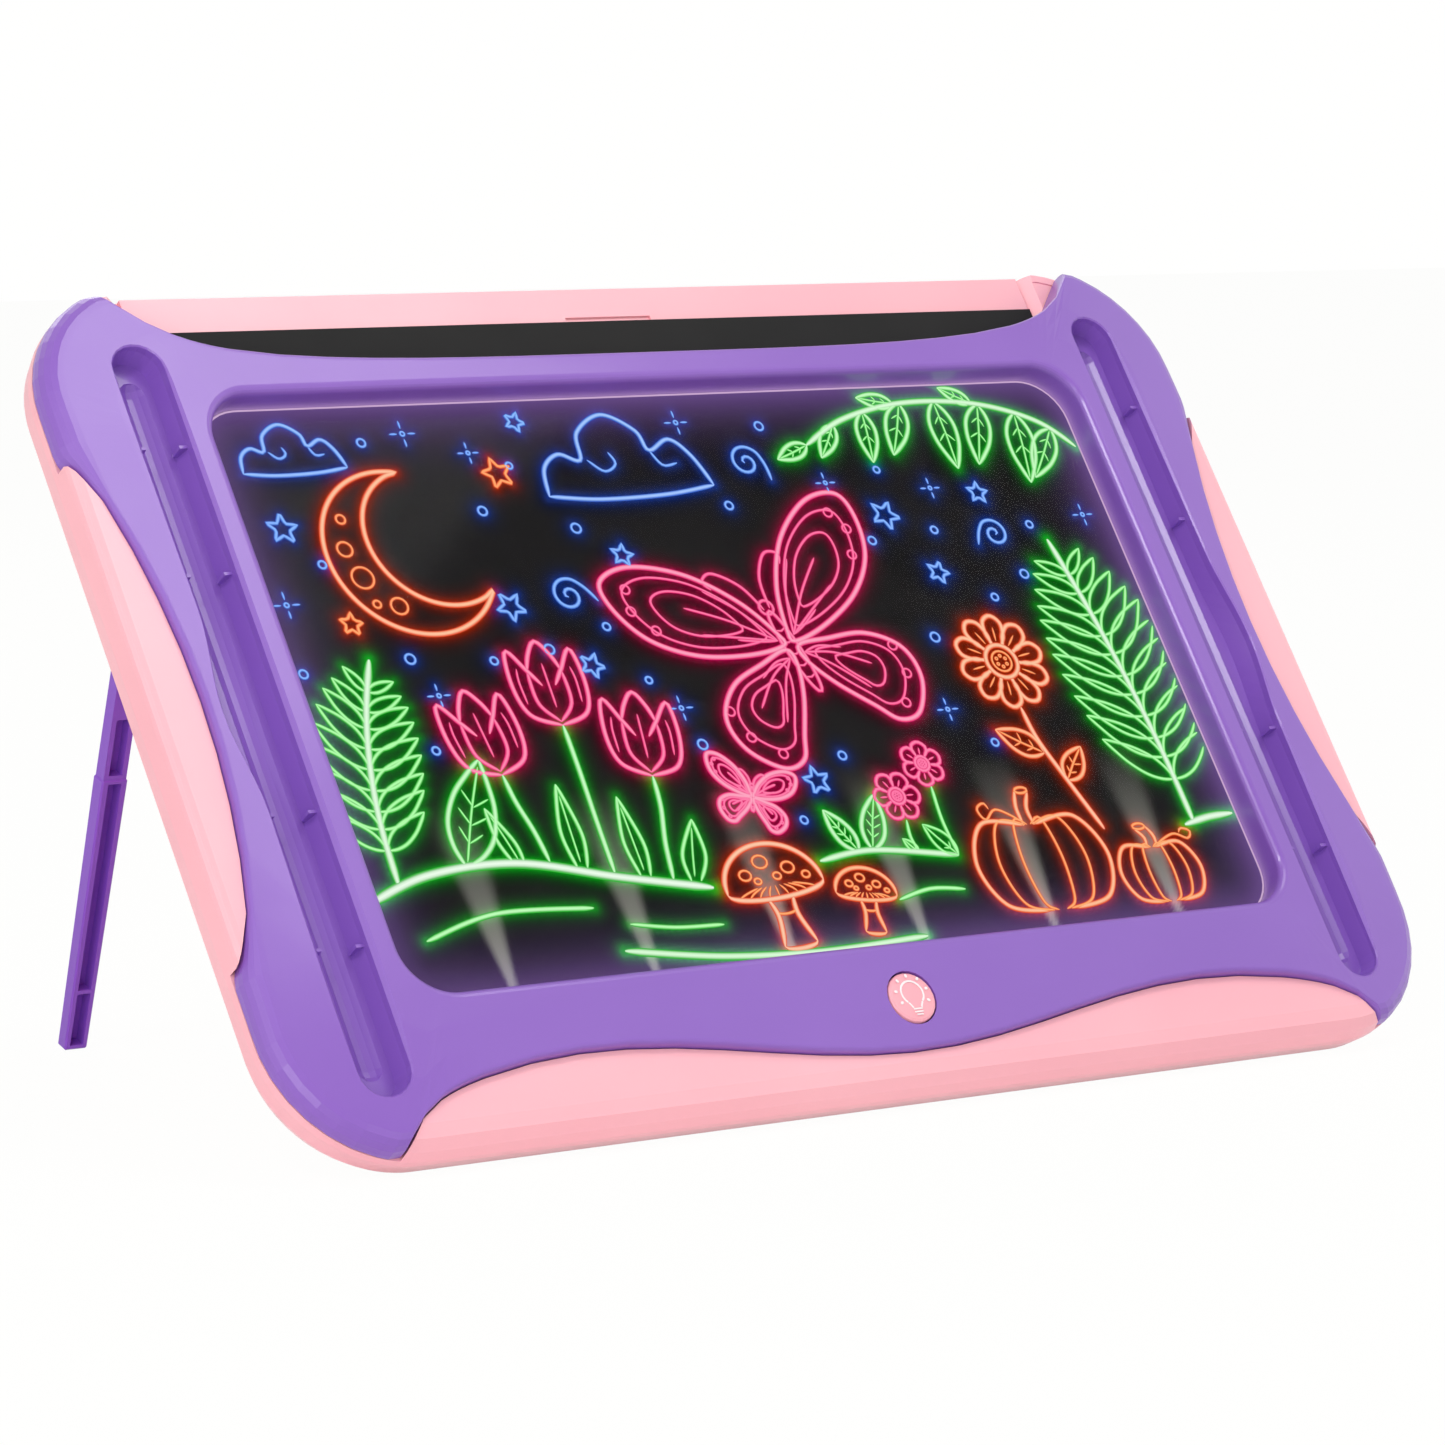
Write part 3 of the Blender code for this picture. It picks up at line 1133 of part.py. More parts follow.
def battery_cells(parent):
    nub_plate = POCKET_WIDTH / 2 - 2 * GAP - CONTACT_THICKNESS
    spring_plate = -nub_plate
    for i in range(CELL_COUNT):
        way = 1 if i % 2 == 0 else -1
        z = CELL_LOW + i * CELL_PITCH
        top = CELL_LENGTH + CELL_NUB
        profile = [(0, top), (CELL_NUB_RADIUS, top), (CELL_NUB_RADIUS, CELL_LENGTH), (CELL_RADIUS, CELL_LENGTH),
                   (CELL_RADIUS, 0), (0, 0)]
        cell = turned(f"battery_cell_{i + 1}", profile, ROUND_STEPS, PARTS, parent, ("cell_jacket", CELL_GREY))
        cell.location = (way * (nub_plate - GAP - top), CELL_Y, z)
        cell.rotation_euler = (0, way * math.pi / 2, 0)
        half = CONTACT_SIZE / 2
        sides = sorted((way * nub_plate, way * (nub_plate + CONTACT_THICKNESS)))
        plain_box(f"contact_plate_{i + 1}", (sides[0], CELL_Y - half, z - half),
                  (sides[1], CELL_Y + half, z + half), parent, ("contact_steel", STEEL))
        free = nub_plate - GAP - top - spring_plate
        contact_spring(f"contact_spring_{i + 1}", way, spring_plate + GAP, free - 2 * GAP, z, parent)


def contact_spring(name, way, start, length, z, parent):
    points = []
    steps = 9
    for i in range(SPRING_TURNS * steps + 1):
        share = i / (SPRING_TURNS * steps)
        turn = 2 * math.pi * share * SPRING_TURNS
        radius = SPRING_RADIUS * (1 - SPRING_TAPER_SHARE * share)
        along = start + SPRING_WIRE + share * (length - 2 * SPRING_WIRE)
        points.append((way * along, CELL_Y + radius * math.cos(turn), z + radius * math.sin(turn)))
    tube(name, points, SPRING_WIRE, parent, ("contact_steel", STEEL), resolution=1)


def cover_screw_head():
    """Depth of the seat under the head of the screw that holds the battery cover."""
    return BOARD_DEPTH - COVER_SUNK - SCREW_HEAD - GAP


def battery_cover(parent):
    half = COVER_WIDTH / 2
    back = BOARD_DEPTH - COVER_SUNK
    cover = plain_box("battery_cover", (-half, back - COVER_THICKNESS, COVER_LOW), (half, back, COVER_HIGH),
                      parent, ("pink_plastic", PINK))
    shape = bmesh.new()
    add_rod(shape, COVER_CUP_RADIUS, (0, back - COVER_THICKNESS - COVER_CUP_DEPTH, COVER_SCREW_Z),
            (0, back - COVER_THICKNESS / 2, COVER_SCREW_Z))
    boolean(cover, from_bmesh("cover_cup", shape, CUTTERS, parent), "UNION")
    shape = bmesh.new()
    seat = cover_screw_head() - GAP
    add_rod(shape, SCREW_HEAD_RADIUS + GAP, (0, seat, COVER_SCREW_Z), (0, BOARD_DEPTH + OVERRUN, COVER_SCREW_Z))
    boolean(cover, from_bmesh("cover_counterbore", shape, CUTTERS, parent))
    shape = bmesh.new()
    add_rod(shape, SCREW_RADIUS + SCREW_CLEAR, (0, BOARD_DEPTH - COVER_BACKING, COVER_SCREW_Z),
            (0, BOARD_DEPTH, COVER_SCREW_Z), PIN_STEPS)
    boolean(cover, from_bmesh("cover_hole", shape, CUTTERS, parent))
    screw = machine_screw("cover_screw", COVER_SCREW_LENGTH, parent)
    facing_back(screw, 0, cover_screw_head(), COVER_SCREW_Z)


def case_screws(parent):
    for i, (x, z) in enumerate(CASE_SCREWS):
        screw = machine_screw(f"case_screw_{i + 1}", SCREW_LENGTH, parent)
        facing_back(screw, x, CASE_HEAD_DEPTH, z)


def leaned(y, z):
    """Height of a point of the upright board once it leans, above the foot of its front edge."""
    return z * math.cos(BOARD_LEAN) - y * math.sin(BOARD_LEAN)


def floor_height():
    return min(leaned(depth, inset) for inset, depth in rear_profile(0.0, LAND_EDGE_BOTTOM))


def leg_length():
    """From the hinge to the tip of the leg's front edge, which stands on the floor when the leg is open."""
    lean = LEG_OPEN - BOARD_LEAN
    drop = leaned(LEG_Y, LEG_PIVOT_Z) - floor_height()
    return (drop - LEG_DEPTH / 2 * math.sin(lean)) / math.cos(lean)


def leg_foot_z():
    return LEG_PIVOT_Z - leg_length()


def leg_section(half, deep, z):
    """The leg's outline; its front, towards the board, stays flush."""
    back = 2 * deep - LEG_DEPTH / 2
    return [(-half, -LEG_DEPTH / 2, z), (half, -LEG_DEPTH / 2, z), (half, back, z), (-half, back, z)]


def leg(side, name, parent):
    """A channel moulding, open towards the board when it is folded, that hangs from its knuckle."""
    hinge = bpy.data.objects.new(f"{name}_hinge", None)
    bpy.data.collections[PARTS].objects.link(hinge)
    hinge.parent = parent
    hinge.location = (side * LEG_X, LEG_Y, LEG_PIVOT_Z)
    hinge.rotation_euler = (LEG_OPEN, 0, 0)
    foot = -leg_length()
    step = foot + LEG_STEP
    half, deep = LEG_WIDTH / 2, LEG_DEPTH / 2
    shape = bmesh.new()
    add_loft(shape, [leg_section(half - LEG_TAPER, deep - LEG_TAPER, foot), leg_section(half, deep, step)])
    body = from_bmesh(name, shape, PARTS, hinge, ("purple_plastic", PURPLE))
    bevel = body.modifiers.new("soft_edges", "BEVEL")
    bevel.width = LEG_STEP_IN
    bevel.segments = 1
    neck = half - LEG_STEP_IN
    shape = bmesh.new()
    add_box(shape, (-neck, -deep + LEG_STEP_IN, step - LEG_STEP_IN * 2), (neck, deep - LEG_STEP_IN, 0))
    boolean(body, from_bmesh(f"{name}_neck", shape, CUTTERS, hinge), "UNION")
    shape = bmesh.new()
    add_rod(shape, LEG_KNUCKLE, (-half, 0, 0), (half, 0, 0))
    boolean(body, from_bmesh(f"{name}_knuckle", shape, CUTTERS, hinge), "UNION")
    shape = bmesh.new()
    channel = half - LEG_FLANGE
    slot_top = step + LEG_NECK_SLOT
    upper = slot_top + LEG_NECK_SOLID
    rib_low, rib_high = foot + LEG_RIB_Z - LEG_RIB / 2, foot + LEG_RIB_Z + LEG_RIB / 2
    stretches = ((foot + LEG_WEB, rib_low), (rib_high, step - LEG_RIB), (step + LEG_RIB, slot_top),
                 (upper, -LEG_KNUCKLE - LEG_WEB))
    for low, high in stretches:
        add_box(shape, (-channel, -deep - OVERRUN, low), (channel, deep - LEG_WEB, high))
    boolean(body, from_bmesh(f"{name}_channel", shape, CUTTERS, hinge))
    shape = bmesh.new()
    add_rod(shape, LEG_PIN_RADIUS + LEG_PIN_CLEAR, (-half - OVERRUN, 0, 0), (half + OVERRUN, 0, 0), PIN_STEPS)
    boolean(body, from_bmesh(f"{name}_bore", shape, CUTTERS, hinge))


def leg_pin(side, name, parent):
    shape = bmesh.new()
    reach = LEG_PIN_LENGTH / 2
    add_rod(shape, LEG_PIN_RADIUS, (side * LEG_X - reach, LEG_Y, LEG_PIVOT_Z),
            (side * LEG_X + reach, LEG_Y, LEG_PIVOT_Z), PIN_STEPS)
    from_bmesh(name, shape, PARTS, parent, ("screw_steel", STEEL))


def backing_sheet(parent):
    half = SHEET_WIDTH / 2
    plain_box("backing_sheet", (-half, SHEET_FRONT, SHEET_LOW), (half, SHEET_BACK, SHEET_TOP), parent,
              ("black_sheet", BLACK))


def stand_on_floor(tilt):
    """Lean the board back and bring the middle of its footprint to the origin, with its lowest point at zero."""
    tilt.rotation_euler = (-BOARD_LEAN, 0, 0)
    bpy.context.view_layer.update()
    seen = bpy.context.evaluated_depsgraph_get()
    corners = []
    for thing in bpy.data.collections[PARTS].objects:
        if thing.type == "MESH":
            shown = thing.evaluated_get(seen)
            corners += [shown.matrix_world @ vertex.co for vertex in shown.data.vertices]
    low = [min(corner[i] for corner in corners) for i in range(3)]
    high = [max(corner[i] for corner in corners) for i in range(3)]
    tilt.location = (-(low[0] + high[0]) / 2, -(low[1] + high[1]) / 2, -low[2])
    bpy.context.view_layer.update()


def main():
    clear_scene()
    parts = make_group(PARTS)
    make_group(CUTTERS)
    tilt = bpy.data.objects.new("board_tilt", None)
    parts.objects.link(tilt)
    front_frame(tilt)
    rear_shell(tilt)
    drawing_panel(tilt)
    backing_sheet(tilt)
    sheet_backplate(tilt)
    light_strip(tilt)
    power_button(tilt)
    switch(tilt)
    circuit_board(tilt)
    wires(tilt)
    battery_cells(tilt)
    battery_cover(tilt)
    case_screws(tilt)
    for side, name in ((-1, "left"), (1, "right")):
        leg(side, f"leg_{name}", tilt)
        leg_pin(side, f"leg_pin_{name}", tilt)
    stand_on_floor(tilt)


main()
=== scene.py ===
"""Looks of the led writing board: finishes, the lit drawing on its clear panel, floor, lights and camera.

Points on the board are in millimetres: across to the right from the middle, up from the bottom edge, and
deep from the front plane towards the back. Everything else is in metres.
"""

import math

import bmesh
import bpy
from mathutils import Matrix, Vector
from mathutils.kdtree import KDTree


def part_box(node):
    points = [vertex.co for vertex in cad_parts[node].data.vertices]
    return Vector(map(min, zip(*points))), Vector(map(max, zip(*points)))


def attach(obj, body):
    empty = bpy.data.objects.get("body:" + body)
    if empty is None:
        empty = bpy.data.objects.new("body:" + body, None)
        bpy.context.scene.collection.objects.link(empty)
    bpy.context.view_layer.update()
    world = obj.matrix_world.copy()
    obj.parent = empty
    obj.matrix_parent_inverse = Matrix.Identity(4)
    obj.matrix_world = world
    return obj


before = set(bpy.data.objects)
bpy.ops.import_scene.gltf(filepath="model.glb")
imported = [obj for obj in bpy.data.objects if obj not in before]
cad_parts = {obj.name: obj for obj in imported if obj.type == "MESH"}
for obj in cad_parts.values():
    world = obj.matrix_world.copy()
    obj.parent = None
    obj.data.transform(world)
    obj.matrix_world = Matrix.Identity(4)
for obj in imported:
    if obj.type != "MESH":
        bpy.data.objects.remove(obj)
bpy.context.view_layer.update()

# The board's place, from the panel's box
LEAN = math.radians(35.8)
PANEL_FOOT = 0.0328
PANEL_RIM = 0.0080
PANEL_BACK = 0.0096
PANEL_FACE_MM = 7.6

# The window and the drawing on it, in millimetres
WINDOW_HALF = 126.5
WINDOW_LOW = 35.3
WINDOW_HIGH = 190.3
WINDOW_CORNER = 12.0
WINDOW_MIDDLE = (WINDOW_LOW + WINDOW_HIGH) / 2
WINDOW_TALL = (WINDOW_HIGH - WINDOW_LOW) / 2
OUTLINE_STEP = 2.0
INK_STEP = 0.9
INK_HEIGHT = 0.14
INK_GAP = 0.02
FILM_STEP = 1.0
FILM_MARGIN = 0.4
FILM_LIFT = 0.03
FILM_THICK = 0.02
WALL_ROWS = 6
WALL_GAP = 0.3
WALL_REACH = 3.6
WALL_COVER = 0.32
WALL_FADE = 2.2

# The push button and the symbol on it, in millimetres
BUTTON_ACROSS = 2.8
BUTTON_UP = 20.8
BUTTON_FACE = -0.24
ICON_STEP = 0.2
ICON_HEIGHT = 0.07
BULB_RADIUS = 3.05
BULB_UP = 0.8
RAY_START = 3.9
RAY_END = 4.9

# Ink colours: the bright core of a stroke, its saturated edge and the light it throws on the panel
INKS = {
    "green": ((0.46, 1.0, 0.42), (0.004, 0.42, 0.010), (0.002, 0.30, 0.008)),
    "blue": ((0.30, 0.54, 1.0), (0.020, 0.11, 0.60), (0.004, 0.035, 0.30)),
    "pink": ((1.0, 0.23, 0.43), (0.80, 0.008, 0.16), (0.40, 0.002, 0.055)),
    "orange": ((1.0, 0.47, 0.19), (0.76, 0.050, 0.006), (0.40, 0.022, 0.002)),
}
ICON_INK = (1.0, 0.86, 0.88)

# Light in the panel: lengths in millimetres, shares from 0 to 1
EDGE_LIGHT = (0.135, 0.070, 0.240)
EDGE_LINE = (0.58, 0.39, 0.62)
EDGE_REACH = 3.6
CORNER_REACH = 4.2
CORNER_ZONE = 34.0
BEAM_LIGHT = (0.3024, 0.3024, 0.2664)
BEAM_PLACES = (-96.25, -57.75, -19.25, 19.25, 57.75, 96.25)
BEAM_HALF = 1.0
BEAM_SPREAD = 0.15
BEAM_RISE = 50.0
HALO_SEARCH = 6.5
HALO_FADE = 0.95
COVER_GAIN = 1.7
COVER_MOST = 0.96
PALE_FROM = 1.1
PALE_SPAN = 2.2
PALE_MOST = 0.75


def board_matrix():
    """Board coordinates to the world: the board leans back about its foot."""
    low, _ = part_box("drawing_panel")
    cos, sin = math.cos(LEAN), math.sin(LEAN)
    foot_y = low.y - PANEL_RIM * cos - PANEL_FOOT * sin
    foot_z = low.z + PANEL_BACK * sin - PANEL_FOOT * cos
    return Matrix(((1, 0, 0, 0), (0, cos, sin, foot_y), (0, -sin, cos, foot_z), (0, 0, 0, 1)))


BOARD = board_matrix()


def on_board(across, deep, up):
    """A point given in board millimetres, in the world."""
    return BOARD @ Vector((across / 1000, deep / 1000, up / 1000))


# Camera

def set_camera():
    """The photograph's view, with the camera's place and axes in board coordinates."""
    lens = bpy.data.cameras.new("view_camera")
    lens.lens = 134.9
    lens.sensor_width = 36
    lens.clip_end = 20
    camera = bpy.data.objects.new("view_camera", lens)
    bpy.context.scene.collection.objects.link(camera)
    right = Vector((0.81502752, -0.47196361, -0.33612572))
    down = Vector((-0.0657474, 0.50102807, -0.86292998))
    ahead = Vector((0.57567997, 0.72541107, 0.37732129))
    turn = Matrix((right, -down, -ahead)).transposed().to_4x4()
    place = Matrix.Translation((-0.744611, -0.913, -0.379448))
    camera.matrix_world = BOARD @ place @ turn
    bpy.context.scene.camera = camera


# Lines of the drawing, each a list of (across, up) points with a pen width

def smooth_line(points, closed=False):
    """A smooth line through the points, resampled at the ink's step."""
    count = len(points)
    dense = []
    spans = count if closed else count - 1
    for i in range(spans):
        if closed:
            a, b, c, d = (points[(i + k) % count] for k in (-1, 0, 1, 2))
        else:
            a, b = points[max(i - 1, 0)], points[i]
            c, d = points[i + 1], points[min(i + 2, count - 1)]
        for k in range(12):
            t = k / 12
            dense.append(tuple((2 * q + (r - p) * t + (2 * p - 5 * q + 4 * r - s) * t * t
                                + (3 * q - p - 3 * r + s) * t ** 3) / 2 for p, q, r, s in zip(a, b, c, d)))
    dense.append(points[0] if closed else points[-1])
    return even_line(dense)


def even_line(points, step=INK_STEP):
    """The same line with its points a step apart."""
    lengths = [0.0]
    for a, b in zip(points, points[1:]):
        lengths.append(lengths[-1] + math.hypot(b[0] - a[0], b[1] - a[1]))
    count = max(3, round(lengths[-1] / step))
    result, j = [], 0
    for i in range(count + 1):
        reach = lengths[-1] * i / count
        while j < len(points) - 2 and lengths[j + 1] < reach:
            j += 1
        gap = lengths[j + 1] - lengths[j] or 1.0
        share = min(max((reach - lengths[j]) / gap, 0), 1)
        a, b = points[j], points[j + 1]
        result.append((a[0] + (b[0] - a[0]) * share, a[1] + (b[1] - a[1]) * share))
    return result


def moved(strokes, across, up, size=1.0, turn=0.0, flip=1):
    """Strokes of a motif, set down on the panel."""
    cos, sin = math.cos(math.radians(turn)), math.sin(math.radians(turn))
    result = []
    for line, width in strokes:
        placed = []
        for x, y in line:
            x, y = x * size * flip, y * size
            placed.append((across + x * cos - y * sin, up + x * sin + y * cos))
        result.append((placed, width))
    return result


def arc(x, y, wide, tall, start, end, count):
    """Points along a part of an ellipse, from one angle in degrees to another."""
    points = []
    for i in range(count + 1):
        angle = math.radians(start + (end - start) * i / count)
        points.append((x + wide * math.cos(angle), y + tall * math.sin(angle)))
    return points


def ring(x, y, wide, tall=None, width=0.9):
    """A closed ring, with at least a dozen points however small it is."""
    tall = wide if tall is None else tall
    return (even_line(arc(x, y, wide, tall, 0, 360, 48), min(INK_STEP, (wide + tall) / 4)), width)


def straight(points, width):
    """A line with sharp corners."""
    return (even_line(points), width)


def leaf(length, half, width, veins, rib=True):
    """A pointed leaf along its own x, with its midrib and side veins."""
    top = [(length * s, half * math.sin(math.pi * s ** 0.8)) for s in (0, 0.15, 0.35, 0.6, 0.82, 1)]
    under = [(x, -y) for x, y in top]
    strokes = [(smooth_line(top), width), (smooth_line(under), width)]
    if rib:
        middle = [(length * 0.05, 0), (length * 0.5, half * 0.06), (length * 0.93, 0)]
        strokes.append((smooth_line(middle), 0.8))
    for i in range(veins):
        start = length * (0.22 + 0.5 * i / max(veins, 1))
        reach = half * 0.62 * math.sin(math.pi * (0.3 + 0.5 * i / max(veins, 1)))
        for side in (-1, 1):
            vein = [(start, 0), (start + length * 0.07, side * reach * 0.6),
                    (start + length * 0.12, side * reach)]
            strokes.append((smooth_line(vein), 0.7))
    return strokes


def frond(length, bend, pairs, width):
    """A fern frond that rises along y and bends over, with leaflets in pairs."""
    spine = []
    for s in (0, 0.25, 0.5, 0.75, 1):
        spine.append((bend * length * s * s, length * (s - 0.18 * abs(bend) * s * s)))
    line = smooth_line(spine)
    strokes = [(line, width)]
    for i in range(pairs):
        share = 0.16 + 0.8 * i / pairs
        k = int(share * (len(line) - 2))
        (x, y), (x2, y2) = line[k], line[k + 1]
        heading = math.degrees(math.atan2(y2 - y, x2 - x))
        reach = length * 0.27 * math.sin(math.pi * (0.22 + 0.74 * share)) + 1.5
        for side in (-1, 1):
            strokes += moved(leaf(reach, reach * 0.14, 1.2, 0, False), x, y, 1.0, heading + side * 52)
    return strokes


def daisy(petals, inner, outer, width):
    """A flower seen from the front, with a vein in each petal and a seeded middle."""
    strokes = [ring(0, 0, inner, width=width), ring(0, 0, inner * 0.62, width=0.8)]
    half = math.pi / petals
    for i in range(petals):
        angle = 2 * math.pi * i / petals
        shape = []
        for spread, reach in ((-0.8, inner), (-1.05, 0.6 * outer), (-0.72, 0.88 * outer), (0, outer),
                              (0.72, 0.88 * outer), (1.05, 0.6 * outer), (0.8, inner)):
            way = angle + spread * half
            shape.append((reach * math.cos(way), reach * math.sin(way)))
        strokes.append((smooth_line(shape), width))
        reaches = (inner * 1.25, outer * 0.55, outer * 0.74)
        vein = [(r * math.cos(angle), r * math.sin(angle)) for r in reaches]
        strokes.append((smooth_line(vein), 0.7))
    seeds = inner * 0.33
    for i in range(6):
        angle = 2 * math.pi * i / 6 + 0.3
        strokes.append(ring(seeds * math.cos(angle), seeds * math.sin(angle), 0.35, width=0.6))
    return strokes


def butterfly():
    """A butterfly with spread wings, about 74 mm across."""
    upper = [(1.5, 4), (6, 14), (15, 24), (27, 30), (36, 29), (37, 22), (33, 13), (24, 6), (12, 2), (2, 1)]
    lower = [(2, 0), (10, -1), (20, -3), (27, -9), (27, -17), (21, -24), (15, -24), (11, -19), (5, -11),
             (1.5, -4)]
    strokes = []
    for flip in (-1, 1):
        wing = []
        for shape, mid_x, mid_y, shares in ((upper, 17, 14, (0.78, 0.5)), (lower, 14, -9, (0.72, 0.4))):
            wing.append((smooth_line(shape, closed=True), 1.6))
            for share in shares:
                inner = [(mid_x + (x - mid_x) * share, mid_y + (y - mid_y) * share) for x, y in shape]
                wing.append((smooth_line(inner, closed=True), 0.8))
        for x, y in ((31, 25.5), (33, 20.5), (30, 14.5), (25, -8), (24, -15), (19, -21)):
            wing.append(ring(x, y, 1.1, width=0.7))
        for end in ((13, 19), (20, 17), (20, 10), (12, 6)):
            wing.append((smooth_line([(2.4, 2.5), (end[0] * 0.55, end[1] * 0.62), end]), 0.8))
        for end in ((12, -4), (17, -10), (13, -15)):
            wing.append((smooth_line([(2.2, -2), (end[0] * 0.55, end[1] * 0.45), end]), 0.8))
        wing.append((smooth_line([(0.8, 10), (3, 17), (8, 22), (11.5, 21), (10.5, 18.5)]), 1.0))
        strokes += moved(wing, 0, 0, 1, 0, flip)
    strokes.append(ring(0, -1, 1.9, 10.5, 1.2))
    strokes.append(ring(0, 10.4, 1.8, 1.8, 1.0))
    for y in (-7, -4, -1, 2, 5):
        strokes.append((smooth_line([(-1.6, y), (0, y - 0.7), (1.6, y)]), 0.7))
    return strokes


def tulip(lean):
    """A tulip's cup, which nods with its stem."""
    cup = [
        ([(0, 0), (-6.5, 2.5), (-8.5, 9), (-7.5, 17), (-4, 12.5), (-1.5, 9)], 1.4),
        ([(0, 0), (6.5, 2.5), (8.5, 9), (7.5, 17), (4, 12.5), (1.5, 9)], 1.4),
        ([(-4, 12.2), (-2.5, 16), (0, 19), (2.5, 16), (4, 12.2)], 1.4),
        ([(0, 0.8), (-3.8, 5), (-4, 12.2)], 1.2),
        ([(0, 0.8), (3.8, 5), (4, 12.2)], 1.2),
        ([(-6.3, 5), (-6.6, 10), (-6.2, 13)], 0.7),
        ([(6.3, 5), (6.6, 10), (6.2, 13)], 0.7),
        ([(0, 4), (0, 9), (0, 14)], 0.7),
    ]
    return moved([(smooth_line(line), width) for line, width in cup], 0, 0, 1.0, -lean * 1.5)


def blade(length, lean):
    """A long leaf that rises from the ground and bends to one side."""
    half = 2.6
    left = [(-half * 0.5, 0), (-half + lean * 0.3, length * 0.45), (lean, length)]
    right = [(half * 0.5, 0), (half + lean * 0.5, length * 0.4), (lean, length)]
    rib = [(0, length * 0.08), (lean * 0.36, length * 0.45), (lean * 0.82, length * 0.86)]
    return [(smooth_line(left), 1.3), (smooth_line(right), 1.3), (smooth_line(rib), 0.7)]


def toadstool(cap, stalk, width):
    """A toadstool with gills, a ringed stalk and round spots."""
    strokes = [(smooth_line(arc(0, stalk, cap, cap * 0.82, 0, 180, 12)), width),
               (smooth_line(arc(0, stalk, cap, cap * 0.2, 180, 360, 10)), width)]
    for i in range(-4, 5):
        x = cap * 0.2 * i
        drop = -cap * 0.19 * math.sqrt(max(1 - (x / cap) ** 2, 0))
        gill = [(x * 0.45, stalk + cap * 0.04), (x * 0.8, stalk + drop * 0.3), (x, stalk + drop * 0.86)]
        strokes.append((smooth_line(gill), 0.7))
    for side in (-1, 1):
        wall = [(side * cap * 0.26, stalk - cap * 0.17), (side * cap * 0.2, stalk * 0.5),
                (side * cap * 0.34, 0)]
        strokes.append((smooth_line(wall), width))
    strokes.append((smooth_line(arc(0, 0, cap * 0.34, cap * 0.08, 180, 360, 6)), width))
    strokes.append((smooth_line(arc(0, stalk * 0.62, cap * 0.24, cap * 0.09, 170, 370, 6)), 0.9))
    for x, y, r in ((-0.5, 0.3, 0.12), (-0.1, 0.5, 0.15), (0.4, 0.32, 0.13), (0.12, 0.2, 0.08),
                    (-0.3, 0.16, 0.07), (0.7, 0.14, 0.08)):
        strokes.append(ring(x * cap, stalk + y * cap, r * cap, r * cap * 0.8, 0.8))
    return strokes


def pumpkin(wide, tall, width):
    """A ribbed pumpkin with its stalk and a curled tendril."""
    strokes = []
    for share in (1.0, 0.66, 0.3):
        for side in (-1, 1):
            half = side * share * wide
            shape = [(half * 0.08, tall * 0.93), (half * 0.7, tall * 0.98), (half, tall * 0.55),
                     (half * 0.78, tall * 0.1), (half * 0.2, 0)]
            strokes.append((smooth_line(shape), width if share == 1.0 else 1.0))
    strokes.append((smooth_line([(-1.6, tall * 0.92), (-1.2, tall * 1.1), (-3.4, tall * 1.28)]), width))
    strokes.append((smooth_line([(1.6, tall * 0.92), (1.8, tall * 1.12), (0.2, tall * 1.31)]), width))
    strokes.append(ring(-1.6, tall * 1.3, 1.9, 0.8, 1.0))
    curl = [(2, tall * 0.98), (8, tall * 1.12), (12, tall * 1.02), (13.5, tall * 1.14),
            (11, tall * 1.2), (10, tall * 1.13)]
    strokes.append((smooth_line(curl), 0.9))
    return strokes


def crescent(size):
    """A crescent moon with craters."""
    outer = arc(0, 0, size, size, 55, 305, 18)
    inner = arc(size * 0.42, 0, size * 0.84, size * 0.84, 283, 77, 16)
    strokes = [(smooth_line(outer + inner[1:-1], closed=True), 1.6)]
    for x, y, r in ((-0.66, 0.38, 0.09), (-0.72, 0.02, 0.13), (-0.58, -0.44, 0.10),
                    (-0.44, 0.68, 0.055), (-0.80, -0.30, 0.045)):
        strokes.append(ring(x * size, y * size, r * size, width=0.8))
    return strokes


def star(size, waist):
    """A star with five points."""
    corners = []
    for i in range(11):
        angle = math.pi / 2 + math.pi * i / 5
        reach = size if i % 2 == 0 else size * waist
        corners.append((reach * math.cos(angle), reach * math.sin(angle)))
    return [straight(corners, 1.1)]


def spark(size):
    """Four short rays with a dot in the middle."""
    strokes = [ring(0, 0, size * 0.16, width=0.7)]
    for angle in (0, 90, 180, 270):
        x, y = size * math.cos(math.radians(angle)), size * math.sin(math.radians(angle))
        strokes.append(straight([(x * 0.4, y * 0.4), (x, y)], 0.8))
    return strokes


def cloud(wide, width):
    """A cloud of humps over a flat foot, with two inner curls."""
    humps = [(-0.5, 0.0), (-0.47, 0.16), (-0.36, 0.24), (-0.24, 0.2), (-0.2, 0.36), (-0.02, 0.46),
             (0.15, 0.36), (0.19, 0.24), (0.33, 0.3), (0.43, 0.2), (0.5, 0.02)]
    foot = [(-0.5, 0), (-0.2, -0.03), (0.2, -0.02), (0.5, 0.02)]
    left_curl = [(-0.2, 0.2), (-0.12, 0.13), (-0.04, 0.17), (-0.06, 0.24)]
    right_curl = [(0.19, 0.24), (0.24, 0.15), (0.33, 0.16)]
    strokes = []
    for line, pen in ((humps, width), (foot, width), (left_curl, 0.9), (right_curl, 0.9)):
        strokes.append((smooth_line([(x * wide, y * wide) for x, y in line]), pen))
    return strokes


def swirl(size):
    """A line that winds inwards, with a tail."""
    points = []
    for i in range(17):
        angle = 2 * math.pi * i / 10
        reach = size * (1 - 0.9 * i / 16)
        points.append((reach * math.cos(angle), reach * math.sin(angle)))
    tail = [(points[0][0] + size * 0.1, -size * 1.1), (points[0][0] + size * 0.08, -size * 0.5)]
    return [(smooth_line(tail + points), 1.1)]


